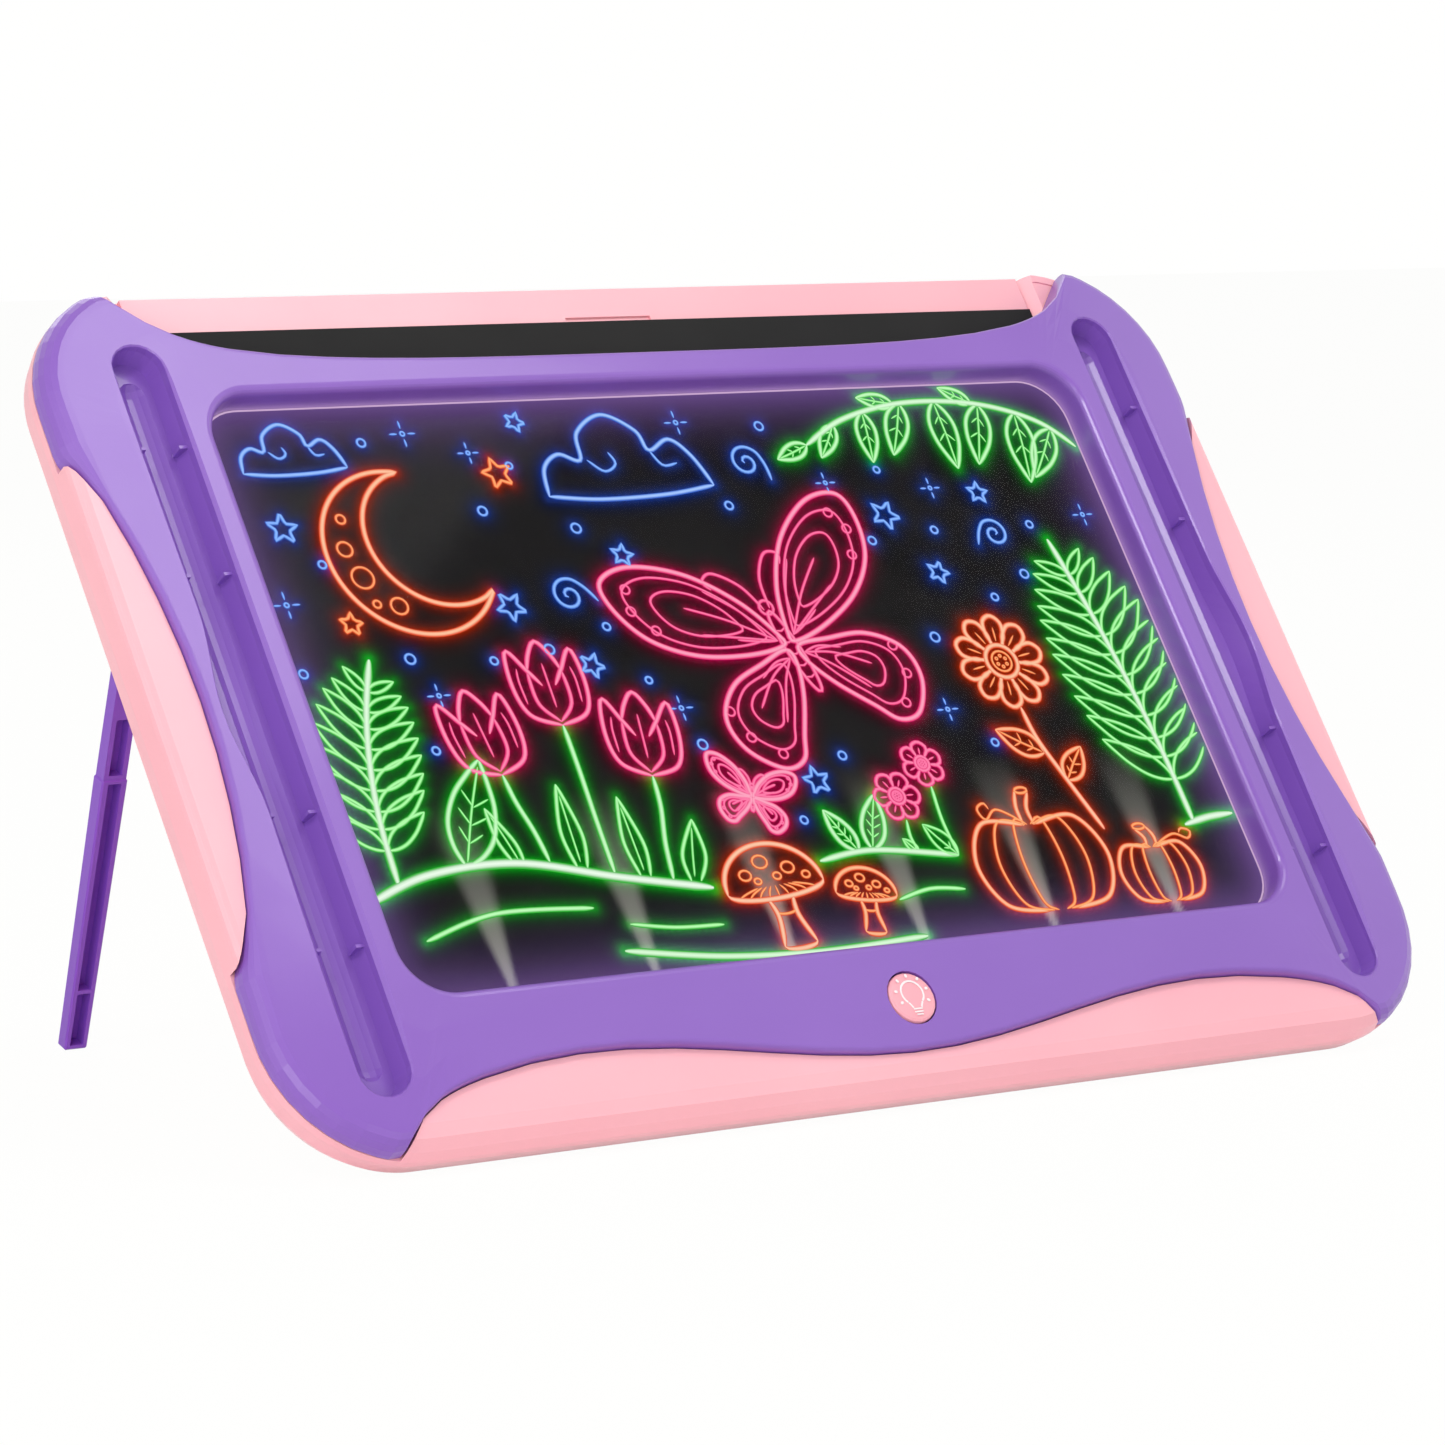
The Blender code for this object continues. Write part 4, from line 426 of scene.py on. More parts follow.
# Across, foot, height of the stem and lean of each tulip
TULIPS = ((-75, 67.5, 23, -4), (-59, 63, 39, 1), (-44, 60, 27, 5))


def green_lines():
    hills = (
        ([(-126, 61), (-108, 67), (-84, 68), (-58, 62), (-34, 57)], 2.8),
        ([(-2, 61), (14, 62.5), (38, 59)], 2.2),
        ([(-114, 51), (-94, 56), (-68, 55)], 1.5),
        ([(16, 49), (26, 51), (36, 50)], 1.4),
        ([(109, 61), (117, 62.5), (126, 63)], 2.6),
        ([(-64, 43.5), (-38, 39.5), (-10, 38), (20, 39)], 2.2),
        ([(-60, 50), (-48, 48), (-35, 47.5)], 1.3),
    )
    strokes = [(smooth_line(line), width) for line, width in hills]
    for across, up, length, bend, pairs in ((112, 61, 84, -0.10, 11), (-116, 65, 60, 0.22, 9)):
        strokes += moved(frond(length, bend, pairs, 2.4), across, up)
    for across, up, turn, length in ((-97, 68, 64, 30), (14, 62.5, 66, 16), (10, 62.5, 116, 13)):
        strokes += moved(leaf(length, length * 0.2, 1.7, 3), across, up, 1.0, turn)
    for across, up, lean, tall in ((-83, 67.5, -4, 15), (-67, 65, 1, 22), (-51, 61.5, 0, 21),
                                   (-38, 59, 5, 16)):
        strokes += moved(blade(tall, lean), across, up)
    for across, foot, tall in ((27, 60.5, 9), (38, 59, 19)):
        strokes += moved([(smooth_line([(0, 0), (-0.8, tall * 0.5), (0, tall)]), 1.3)], across, foot)
        strokes += moved(leaf(tall * 0.6, tall * 0.13, 1.1, 1), across, foot, 1.0, 128)
    for across, foot, height, lean in TULIPS:
        stem = [(0, 0), (lean * 0.3, height * 0.35), (lean * 0.8, height * 0.7), (lean, height)]
        strokes += moved([(smooth_line(stem), 1.7)], across, foot)
    branch = smooth_line([(127, 168), (116, 178), (98, 184), (76, 185), (56, 181), (42, 174)])
    strokes.append((branch, 2.2))
    for share, turn, length in ((0.12, -128, 18), (0.24, -100, 21), (0.36, -112, 19), (0.38, 150, 10),
                                (0.5, -92, 20), (0.62, -118, 17), (0.64, 168, 11), (0.76, -100, 15),
                                (0.88, -128, 12), (1.0, -160, 11)):
        x, y = branch[int(share * (len(branch) - 1))]
        strokes += moved(leaf(length, length * 0.19, 1.6, 2), x, y, 1.0, turn)
    return strokes


def pink_lines():
    strokes = moved(butterfly(), 14, 118, 1.12, 15)
    for across, foot, height, lean in TULIPS:
        strokes += moved(tulip(lean), across + lean, foot + height, 1.18)
    strokes += moved(butterfly(), -14, 79, 0.32, -20)
    strokes += moved(daisy(6, 2.2, 6.6, 1.2), 27, 76, 1)
    strokes += moved(daisy(6, 2.0, 6.0, 1.2), 38, 84, 1, 20)
    return strokes


def orange_lines():
    strokes = moved(crescent(22), -82, 150, 1.0, 24)
    strokes += moved(pumpkin(20, 25, 1.5), 62, 42, 1.0, 0, -1)
    strokes += moved(pumpkin(12.5, 16, 1.4), 96, 41)
    strokes += moved(toadstool(14, 15, 1.7), -16, 40.5, 1.0, 4)
    strokes += moved(toadstool(8.5, 10, 1.4), 6, 41.5, 1.0, -8)
    strokes += moved(daisy(10, 4.6, 13, 1.6), 74, 110, 1.0, 10)
    stem = smooth_line([(74, 97), (75, 88), (79, 76), (84, 62)])
    strokes.append((stem, 1.7))
    strokes += moved(leaf(14, 3.4, 1.4, 2), 75.5, 84, 1.0, 148)
    strokes += moved(leaf(12, 3.0, 1.4, 2), 79, 76, 1.0, 48)
    strokes += moved(star(4.4, 0.45), -50, 170, 1, 10)
    strokes += moved(star(3.2, 0.45), -104, 132, 1, -12)
    return strokes


def blue_lines():
    strokes = moved(cloud(48, 1.4), -14, 163)
    strokes += moved(cloud(28, 1.3), -104, 173)
    strokes += moved(swirl(5.0), 22, 170)
    strokes += moved(swirl(5.0), -43, 136, 1, 30)
    strokes += moved(swirl(4.4), 88, 146, 1, -20, -1)
    for across, up, size in ((-113, 158, 4.2), (-60, 134, 4.2), (57, 153, 4.4), (-24, 146, 3.2),
                             (88, 158, 3.2), (6, 82, 4.0), (66, 136, 3.4), (-44, 117, 3.6),
                             (-40, 184, 3.0)):
        strokes += moved(star(size, 0.42), across, up, 1, across * 0.7)
    for across, up, size in ((-72, 182, 3.6), (6, 182, 3.4), (-119, 138, 3.6), (43, 163, 3.0),
                             (118, 150, 3.2), (-24, 104, 3.4), (-88, 112, 3.2), (52, 98, 3.2),
                             (74, 160, 3.0), (-56, 176, 3.0)):
        strokes += moved(spark(size), across, up)
    for across, up, size in ((-58, 160, 1.2), (-46, 172, 0.9), (30, 180, 1.2), (70, 148, 1.0),
                             (92, 134, 1.2), (-54, 122, 1.3), (-94, 98, 1.0), (-22, 94, 1.3),
                             (-30, 112, 0.9), (57, 118, 1.3), (62, 88, 1.0), (-121, 120, 1.1),
                             (-36, 127, 1.0), (-84, 180, 1.1), (50, 146, 1.1), (-34, 154, 1.3),
                             (-70, 120, 1.0), (16, 88, 1.1), (80, 128, 1.0), (-2, 72, 1.0),
                             (-106, 148, 1.0), (60, 166, 0.9), (100, 148, 1.0), (-92, 122, 1.3),
                             (12, 158, 1.1)):
        strokes.append(ring(across, up, size, width=0.8))
    return strokes


DRAWING = {"green": green_lines(), "pink": pink_lines(), "orange": orange_lines(), "blue": blue_lines()}


def inside_window(point):
    margin = 1.2
    across, up = abs(point[0]), abs(point[1] - WINDOW_MIDDLE)
    half, tall = WINDOW_HALF - margin, WINDOW_TALL - margin
    corner = WINDOW_CORNER - margin
    dx, dz = across - (half - corner), up - (tall - corner)
    if dx > 0 and dz > 0:
        return math.hypot(dx, dz) <= corner
    return across <= half and up <= tall


def kept_runs(line):
    """The stretches of a line that lie within the window."""
    runs, run = [], []
    for point in line:
        if inside_window(point):
            run.append(point)
        else:
            runs.append(run)
            run = []
    runs.append(run)
    return [run for run in runs if len(run) >= 4]


# Meshes of the drawing

def finished_mesh(name, shape, finish, smooth=True):
    mesh = bpy.data.meshes.new(name)
    shape.to_mesh(mesh)
    shape.free()
    for face in mesh.polygons:
        face.use_smooth = smooth
    mesh.materials.append(finish)
    thing = bpy.data.objects.new(name, mesh)
    bpy.context.scene.collection.objects.link(thing)
    return thing


# A line's section: offset from the middle, rise, and share of the core's colour
DOME = ((-1.0, 0.0, 0.0), (-0.74, 0.62, 0.15), (-0.40, 0.94, 0.75), (0.0, 1.0, 1.0),
        (0.40, 0.94, 0.75), (0.74, 0.62, 0.15), (1.0, 0.0, 0.0))


def add_ribbon(shape, colours, line, width, face_mm, height, core, edge, closed=False):
    """A domed line of ink: its bright core is in the middle, paler where it is wide, and its ends taper."""
    rows = []
    count = len(line)
    pale = min(max((width - PALE_FROM) / PALE_SPAN, 0), PALE_MOST)
    core = [tone + (1 - tone) * pale for tone in core]
    for i, (x, z) in enumerate(line):
        before = line[i - 1] if closed or i else line[i]
        after = line[(i + 1) % count] if closed or i < count - 1 else line[i]
        way = Vector((after[0] - before[0], after[1] - before[1]))
        way = way.normalized() if way.length > 0 else Vector((1, 0))
        side = Vector((-way.y, way.x))
        if closed:
            swell = 1.0
        else:
            near = min(i, count - 1 - i) * INK_STEP
            swell = 0.3 + 0.7 * math.sqrt(min(near / (1.8 * width), 1))
        row = []
        for offset, rise, share in DOME:
            reach = offset * width / 2 * swell
            deep = face_mm - rise * height * swell
            vert = shape.verts.new(on_board(x + side.x * reach, deep, z + side.y * reach))
            tone = [a + (b - a) * share for a, b in zip(edge, core)]
            vert[colours] = (*tone, 1.0)
            row.append(vert)
        rows.append(row)
    pairs = list(zip(rows, rows[1:]))
    if closed:
        pairs.append((rows[-1], rows[0]))
    for one, other in pairs:
        for k in range(len(DOME)):
            j = (k + 1) % len(DOME)
            shape.faces.new((one[k], one[j], other[j], other[k]))
    if not closed:
        shape.faces.new(rows[0][::-1])
        shape.faces.new(rows[-1])


def ink_piece(name, strokes, finish, face_mm, height, core, edge, clip=True):
    """One mesh of all the strokes, cut off at the window's edge where clip is set."""
    shape = bmesh.new()
    colours = shape.verts.layers.float_color.new("ink")
    for line, width in strokes:
        loop = math.dist(line[0], line[-1]) < 0.01
        if loop and (not clip or all(inside_window(point) for point in line)):
            add_ribbon(shape, colours, line[:-1], width, face_mm, height, core, edge, closed=True)
            continue
        for run in (kept_runs(line) if clip else [line]):
            add_ribbon(shape, colours, run, width, face_mm, height, core, edge)
    bmesh.ops.recalc_face_normals(shape, faces=shape.faces)
    return finished_mesh(name, shape, finish)


def glow_samples():
    """Points along every stroke, with the light that it throws."""
    samples = []
    for ink, strokes in DRAWING.items():
        for line, width in strokes:
            for run in kept_runs(line):
                for point in run[::2]:
                    samples.append((point, width, INKS[ink][2]))
    tree = KDTree(len(samples))
    for i, (point, _, _) in enumerate(samples):
        tree.insert((point[0], point[1], 0), i)
    tree.balance()
    return samples, tree


def edge_distance(x, z):
    """Distance in from the window's edge."""
    across, up = abs(x), abs(z - WINDOW_MIDDLE)
    dx = across - (WINDOW_HALF - WINDOW_CORNER)
    dz = up - (WINDOW_TALL - WINDOW_CORNER)
    outside = math.hypot(max(dx, 0), max(dz, 0))
    return WINDOW_CORNER - outside - min(max(dx, dz), 0)


def panel_light(x, z, samples, tree):
    """Light that leaves the panel at a point: edge light, beams and the glow round the strokes."""
    inward = max(edge_distance(x, z), 0)
    corner_x = max(abs(x) - WINDOW_HALF + CORNER_ZONE, 0)
    corner_z = max(abs(z - WINDOW_MIDDLE) - WINDOW_TALL + CORNER_ZONE, 0)
    corner = min(math.hypot(corner_x, corner_z) / CORNER_ZONE, 1.3)
    edge = math.exp(-inward / (EDGE_REACH + CORNER_REACH * corner ** 2))
    light = [tint * edge for tint in EDGE_LIGHT]
    rise = z - WINDOW_LOW
    half = BEAM_HALF + BEAM_SPREAD * rise
    for place in BEAM_PLACES:
        across = abs(x - place) / half
        if across < 2.2 and rise >= 0:
            fade = max(1 - rise / BEAM_RISE, 0) ** 1.2 * (1 - 0.3 * math.exp(-rise / 4))
            share = math.exp(-(across * 1.25) ** 4) * fade
            for k in range(3):
                light[k] += BEAM_LIGHT[k] * share
    halo = [0.0, 0.0, 0.0]
    for _, i, away in tree.find_range((x, z, 0), HALO_SEARCH):
        _, width, tint = samples[i]
        share = math.exp(-max(away - width * 0.4, 0) / HALO_FADE) * (0.5 + 0.25 * width)
        for k in range(3):
            halo[k] = max(halo[k], tint[k] * share)
    return [one + other for one, other in zip(light, halo)]


def light_film(finish):
    """A clear film just in front of the panel that carries the glow; its back gives no light."""
    samples, tree = glow_samples()
    rows = round(2 * WINDOW_TALL / FILM_STEP)
    columns = round(2 * WINDOW_HALF / FILM_STEP)
    shape = bmesh.new()
    colours = shape.verts.layers.float_color.new("ink")
    grid = []
    tall = WINDOW_TALL - FILM_MARGIN
    corner = WINDOW_CORNER - FILM_MARGIN
    for j in range(rows + 1):
        up = -tall + 2 * tall * j / rows
        past = max(abs(up) - (tall - corner), 0)
        half = WINDOW_HALF - WINDOW_CORNER + math.sqrt(max(corner ** 2 - past ** 2, 0))
        row = []
        for i in range(columns + 1):
            x = -half + 2 * half * i / columns
            z = WINDOW_MIDDLE + up
            light = panel_light(x, z, samples, tree)
            cover = min(max(light) * COVER_GAIN, COVER_MOST)
            vert = shape.verts.new(on_board(x, PANEL_FACE_MM - FILM_LIFT - FILM_THICK, z))
            tone = [c / cover if cover > 0.0005 else 0.0 for c in light]
            vert[colours] = (*tone, cover)
            row.append(vert)
        grid.append(row)
    for one, other in zip(grid, grid[1:]):
        for i in range(columns):
            shape.faces.new((one[i], one[i + 1], other[i + 1], other[i]))
    rim = grid[0] + [row[-1] for row in grid[1:-1]]
    rim += grid[-1][::-1] + [row[0] for row in grid[-2:0:-1]]
    back = []
    deep = BOARD.to_3x3() @ Vector((0, FILM_THICK / 1000, 0))
    for vert in rim:
        under = shape.verts.new(vert.co + deep)
        under[colours] = (0, 0, 0, 0)
        back.append(under)
    for i in range(len(rim)):
        j = (i + 1) % len(rim)
        shape.faces.new((rim[i], back[i], back[j], rim[j]))
    shape.faces.new(back)
    bmesh.ops.recalc_face_normals(shape, faces=shape.faces)
    return finished_mesh("panel_glow", shape, finish, smooth=False)


def window_outline(inset):
    """The window's outline as a closed line, an even distance inside its wall."""
    across, up = WINDOW_HALF - WINDOW_CORNER, WINDOW_TALL - WINDOW_CORNER
    corner = WINDOW_CORNER - inset
    path = []
    for side, level, start in ((1, 1, 0), (-1, 1, 90), (-1, -1, 180), (1, -1, 270)):
        path += arc(side * across, WINDOW_MIDDLE + level * up, corner, corner, start, start + 90, 12)
    return even_line(path + path[:1], OUTLINE_STEP)[:-1]


def panel_edge_line(finish):
    """The line of light along the panel's edge, where it meets the window's wall."""
    path = window_outline(0.3)
    return ink_piece("panel_edge_line", [(path + path[:1], 0.5)], finish, PANEL_FACE_MM - FILM_LIFT, 0.2,
                     EDGE_LINE, EDGE_LINE, clip=False)


def wall_glow(finish):
    """Light from the panel's edge on the window's wall, on a clear film that lies just off the wall."""
    shape = bmesh.new()
    colours = shape.verts.layers.float_color.new("ink")
    outer, inner = window_outline(0.05), window_outline(0.09)
    count = min(len(outer), len(inner))
    foot = PANEL_FACE_MM - WALL_GAP
    layers = []
    for step in range(WALL_ROWS + 1):
        share = step / WALL_ROWS
        cover = WALL_COVER * math.exp(-WALL_FADE * share) * (1 - share ** 2)
        layers.append((inner, foot - WALL_REACH * share, (*EDGE_LINE, cover)))
    layers += [(outer, foot - WALL_REACH, (0, 0, 0, 0)), (outer, foot, (0, 0, 0, 0))]
    rows = []
    for path, deep, tone in layers:
        row = []
        for x, z in path[:count]:
            vert = shape.verts.new(on_board(x, deep, z))
            vert[colours] = tone
            row.append(vert)
        rows.append(row)
    for one, other in zip(rows, rows[1:] + rows[:1]):
        for i in range(count):
            j = (i + 1) % count
            shape.faces.new((one[i], one[j], other[j], other[i]))
    bmesh.ops.recalc_face_normals(shape, faces=shape.faces)
    return finished_mesh("window_wall_glow", shape, finish)


def button_icon(finish):
    """A bulb with short rays, in thin raised lines on the button."""
    strokes = [
        (smooth_line(arc(0, BULB_UP, BULB_RADIUS, BULB_RADIUS, -48, 228, 16)), 0.55),
        (smooth_line([(-2.04, -1.47), (-1.4, -2.4), (-1.15, -3.1)]), 0.52),
        (smooth_line([(2.04, -1.47), (1.4, -2.4), (1.15, -3.1)]), 0.52),
    ]
    for up, half in ((-3.25, 1.35), (-4.0, 1.3), (-4.7, 1.0)):
        strokes.append(([(-half, up), (half, up)], 0.42))
    for angle in (-30, 10, 50, 90, 130, 170, 210):
        cos, sin = math.cos(math.radians(angle)), math.sin(math.radians(angle))
        ray = [(reach * cos, BULB_UP + reach * sin) for reach in (RAY_START, RAY_END)]
        strokes.append((ray, 0.8))
    strokes = [(even_line(line, ICON_STEP), width) for line, width in strokes]
    strokes = moved(strokes, BUTTON_ACROSS, BUTTON_UP)
    return ink_piece("button_icon", strokes, finish, BUTTON_FACE, ICON_HEIGHT, ICON_INK, ICON_INK,
                     clip=False)


# Effects that several finishes share

def new_effect(name, inputs, outputs):
    group = bpy.data.node_groups.new(name, "ShaderNodeTree")
    for label, kind, value in inputs:
        socket = group.interface.new_socket(label, in_out="INPUT", socket_type=kind)
        socket.default_value = value
    for label, kind in outputs:
        group.interface.new_socket(label, in_out="OUTPUT", socket_type=kind)
    nodes, links = group.nodes, group.links
    return group, nodes, links, nodes.new("NodeGroupInput"), nodes.new("NodeGroupOutput")


def add_noise(nodes, links, where, detail=3.0, rough=0.55):
    noise = nodes.new("ShaderNodeTexNoise")
    noise.inputs["Detail"].default_value = detail
    noise.inputs["Roughness"].default_value = rough
    links.new(where, noise.inputs["Vector"])
    return noise


def add_range(nodes, links, value, low, high):
    span = nodes.new("ShaderNodeMapRange")
    span.inputs["To Min"].default_value = low
    span.inputs["To Max"].default_value = high
    links.new(value, span.inputs["Value"])
    return span


def add_mix(nodes, links, factor, one, other):
    mix = nodes.new("ShaderNodeMix")
    mix.data_type = "RGBA"
    links.new(factor, mix.inputs["Factor"])
    links.new(one, mix.inputs["A"])
    links.new(other, mix.inputs["B"])
    return mix.outputs["Result"]


def moulded_skin_effect():
    """Colour that drifts a little, as in a moulded shell, a fine spark-eroded grain, and uneven gloss."""
    group, nodes, links, given, result = new_effect(
        "moulded_skin",
        (("Colour", "NodeSocketColor", (0.5, 0.5, 0.5, 1)),
         ("Deep Colour", "NodeSocketColor", (0.4, 0.4, 0.4, 1)),
         ("Drift Scale", "NodeSocketFloat", 14.0), ("Grain Scale", "NodeSocketFloat", 2600.0),
         ("Gloss Low", "NodeSocketFloat", 0.28), ("Gloss High", "NodeSocketFloat", 0.36)),
        (("Colour", "NodeSocketColor"), ("Roughness", "NodeSocketFloat"), ("Height", "NodeSocketFloat")))
    where = nodes.new("ShaderNodeTexCoord").outputs["Object"]
    drift = add_noise(nodes, links, where, 2.0)
    links.new(given.outputs["Drift Scale"], drift.inputs["Scale"])
    share = add_range(nodes, links, drift.outputs["Fac"], 0.0, 1.0)
    share.inputs["From Min"].default_value = 0.32
    share.inputs["From Max"].default_value = 0.72
    tone = add_mix(nodes, links, share.outputs["Result"], given.outputs["Colour"],
                   given.outputs["Deep Colour"])
    links.new(tone, result.inputs["Colour"])
    grain = add_noise(nodes, links, where, 2.0, 0.6)
    links.new(given.outputs["Grain Scale"], grain.inputs["Scale"])
    links.new(grain.outputs["Fac"], result.inputs["Height"])
    patch = add_noise(nodes, links, where, 3.0)
    patch.inputs["Scale"].default_value = 60
    gloss = nodes.new("ShaderNodeMapRange")
    links.new(patch.outputs["Fac"], gloss.inputs["Value"])
    links.new(given.outputs["Gloss Low"], gloss.inputs["To Min"])
    links.new(given.outputs["Gloss High"], gloss.inputs["To Max"])
    links.new(gloss.outputs["Result"], result.inputs["Roughness"])
    return group


def drawn_metal_effect():
    """Fine lines along the metal, with duller spots."""
    group, nodes, links, given, result = new_effect(
        "drawn_metal",
        (("Colour", "NodeSocketColor", (0.6, 0.6, 0.6, 1)),
         ("Dull Colour", "NodeSocketColor", (0.4, 0.4, 0.4, 1)),
         ("Line Scale", "NodeSocketFloat", 900.0)),
        (("Colour", "NodeSocketColor"), ("Roughness", "NodeSocketFloat"), ("Height", "NodeSocketFloat")))
    where = nodes.new("ShaderNodeTexCoord").outputs["Object"]
    stretch = nodes.new("ShaderNodeMapping")
    stretch.inputs["Scale"].default_value = (0.15, 1.0, 1.0)
    links.new(where, stretch.inputs["Vector"])
    lines = add_noise(nodes, links, stretch.outputs["Vector"], 2.0)
    links.new(given.outputs["Line Scale"], lines.inputs["Scale"])
    spots = add_noise(nodes, links, where, 4.0)
    spots.inputs["Scale"].default_value = 240
    tone = add_mix(nodes, links, spots.outputs["Fac"], given.outputs["Colour"],
                   given.outputs["Dull Colour"])
    links.new(tone, result.inputs["Colour"])
    rough = add_range(nodes, links, spots.outputs["Fac"], 0.22, 0.42)
    links.new(rough.outputs["Result"], result.inputs["Roughness"])
    links.new(lines.outputs["Fac"], result.inputs["Height"])
    return group


def bare_finish(name):
    finish = bpy.data.materials.new(name)
    finish.use_nodes = True
    nodes = finish.node_tree.nodes
    return finish, nodes, finish.node_tree.links, nodes["Principled BSDF"]


def place_effect(nodes, group, **values):
    effect = nodes.new("ShaderNodeGroup")
    effect.node_tree = group
    for label, value in values.items():
        effect.inputs[label.replace("_", " ")].default_value = value
    return effect


def join_effect(nodes, links, effect, shader, depth):
    links.new(effect.outputs["Colour"], shader.inputs["Base Color"])
    links.new(effect.outputs["Roughness"], shader.inputs["Roughness"])
    bump = nodes.new("ShaderNodeBump")
    bump.inputs["Strength"].default_value = 0.35
    bump.inputs["Distance"].default_value = depth
    links.new(effect.outputs["Height"], bump.inputs["Height"])
    links.new(bump.outputs["Normal"], shader.inputs["Normal"])


def plastic(name, colour, deep, gloss, coat=0.0, grain=2600.0, depth=0.00003, level=0.5):
    """Moulded plastic, whose gloss is the low and high end of its roughness."""
    finish, nodes, links, shader = bare_finish(name)
    effect = place_effect(nodes, SKIN, Colour=(*colour, 1), Deep_Colour=(*deep, 1),
                          Gloss_Low=gloss[0], Gloss_High=gloss[1], Grain_Scale=grain)
    join_effect(nodes, links, effect, shader, depth)
    shader.inputs["Coat Weight"].default_value = coat
    shader.inputs["Coat Roughness"].default_value = 0.10
    shader.inputs["Specular IOR Level"].default_value = level
    return finish


def metal(name, colour, dull, scale=900.0):
    finish, nodes, links, shader = bare_finish(name)
    effect = place_effect(nodes, DRAWN, Colour=(*colour, 1), Dull_Colour=(*dull, 1), Line_Scale=scale)
    join_effect(nodes, links, effect, shader, 0.00002)
    shader.inputs["Metallic"].default_value = 1.0
    return finish


def clear_acrylic():
    """The panel: clear and polished, with the faintest haze."""
    finish, nodes, links, shader = bare_finish("clear_acrylic")
    where = nodes.new("ShaderNodeTexCoord").outputs["Object"]
    haze = add_noise(nodes, links, where, 3.0)
    haze.inputs["Scale"].default_value = 45
    links.new(add_range(nodes, links, haze.outputs["Fac"], 0.03, 0.09).outputs["Result"],
              shader.inputs["Roughness"])
    shader.inputs["Base Color"].default_value = (0.60, 0.59, 0.60, 1)
    shader.inputs["Transmission Weight"].default_value = 1.0
    shader.inputs["IOR"].default_value = 1.07
    return finish


def circuit_board(name, mask, copper):
    """Solder mask over copper tracks that run straight and branch at right angles."""
    finish, nodes, links, shader = bare_finish(name)
    where = nodes.new("ShaderNodeTexCoord").outputs["Object"]
    tracks = nodes.new("ShaderNodeTexBrick")
    tracks.inputs["Scale"].default_value = 320
    tracks.inputs["Mortar Size"].default_value = 0.09
    tracks.inputs["Mortar Smooth"].default_value = 0.2
    tracks.inputs["Color1"].default_value = (*mask, 1)
    tracks.inputs["Color2"].default_value = (*[c * 0.9 for c in mask], 1)
    tracks.inputs["Mortar"].default_value = (*copper, 1)
    links.new(where, tracks.inputs["Vector"])
    links.new(tracks.outputs["Color"], shader.inputs["Base Color"])
    bump = nodes.new("ShaderNodeBump")
    bump.inputs["Strength"].default_value = 0.4
    bump.inputs["Distance"].default_value = 0.00004
    links.new(tracks.outputs["Fac"], bump.inputs["Height"])
    links.new(bump.outputs["Normal"], shader.inputs["Normal"])
    shader.inputs["Roughness"].default_value = 0.38
    return finish


def lit_ink(name, see_through):
    """Light that leaves a stroke or the panel, with its colour kept in the mesh."""
    finish, nodes, links, shader = bare_finish(name)
    tone = nodes.new("ShaderNodeAttribute")
    tone.attribute_name = "ink"
    links.new(tone.outputs["Color"], shader.inputs["Emission Color"])
    shader.inputs["Emission Strength"].default_value = 1.0
    shader.inputs["Base Color"].default_value = (0, 0, 0, 1)
    shader.inputs["Specular IOR Level"].default_value = 0.0
    shader.inputs["Roughness"].default_value = 0.6
    if see_through:
        links.new(tone.outputs["Alpha"], shader.inputs["Alpha"])
    return finish


def led_lens():
    finish, nodes, links, shader = bare_finish("led_lens")
    where = nodes.new("ShaderNodeTexCoord").outputs["Object"]
    cells = add_noise(nodes, links, where, 2.0)
    cells.inputs["Scale"].default_value = 1800
    tint = nodes.new("ShaderNodeValToRGB")
    tint.color_ramp.elements[0].color = (0.92, 0.83, 0.42, 1)
    tint.color_ramp.elements[1].color = (1.0, 0.95, 0.80, 1)
    links.new(cells.outputs["Fac"], tint.inputs["Fac"])
    links.new(tint.outputs["Color"], shader.inputs["Base Color"])
    links.new(tint.outputs["Color"], shader.inputs["Emission Color"])
    shader.inputs["Emission Strength"].default_value = 0.8
    shader.inputs["Roughness"].default_value = 0.25
    return finish


SKIN = moulded_skin_effect()
DRAWN = drawn_metal_effect()
PURPLE = plastic("purple_shell", (0.258, 0.113, 0.515), (0.236, 0.099, 0.486), (0.29, 0.37),
                 coat=0.20, level=0.42)
# Painted shade: the legs get a more saturated, bluer copy of the shell's purple, so that they look as they
# do in shade
LEG_SHADE_PURPLE = plastic("purple_legs_painted_shade", (0.250, 0.080, 0.570), (0.230, 0.070, 0.540), (0.30, 0.38),
                     coat=0.12, level=0.3)
PINK = plastic("pink_shell", (0.990, 0.480, 0.530), (0.960, 0.430, 0.490), (0.32, 0.42), coat=0.1)
BUTTON_PINK = plastic("button_pink", (0.970, 0.430, 0.490), (0.950, 0.400, 0.460), (0.34, 0.42), coat=0.05)
SHEET_BLACK = plastic("matt_black_sheet", (0.017, 0.0165, 0.016), (0.013, 0.013, 0.013), (0.6, 0.72),
                      grain=1500.0, depth=0.00005, level=0.12)
HOUSING_BLACK = plastic("black_housing", (0.022, 0.022, 0.024), (0.016, 0.016, 0.018), (0.36, 0.46))
PLUNGER_WHITE = plastic("white_plunger", (0.82, 0.81, 0.78), (0.76, 0.75, 0.71), (0.36, 0.46))
CELL_JACKET = plastic("cell_jacket", (0.16, 0.17, 0.19), (0.12, 0.13, 0.15), (0.26, 0.34), coat=0.3)
WIRE_RED = plastic("wire_red", (0.60, 0.030, 0.025), (0.52, 0.022, 0.020), (0.38, 0.48),
                   grain=3000.0, depth=0.00002)
WIRE_BLACK = plastic("wire_black", (0.030, 0.030, 0.033), (0.022, 0.022, 0.024), (0.38, 0.48),
                     grain=3000.0, depth=0.00002)
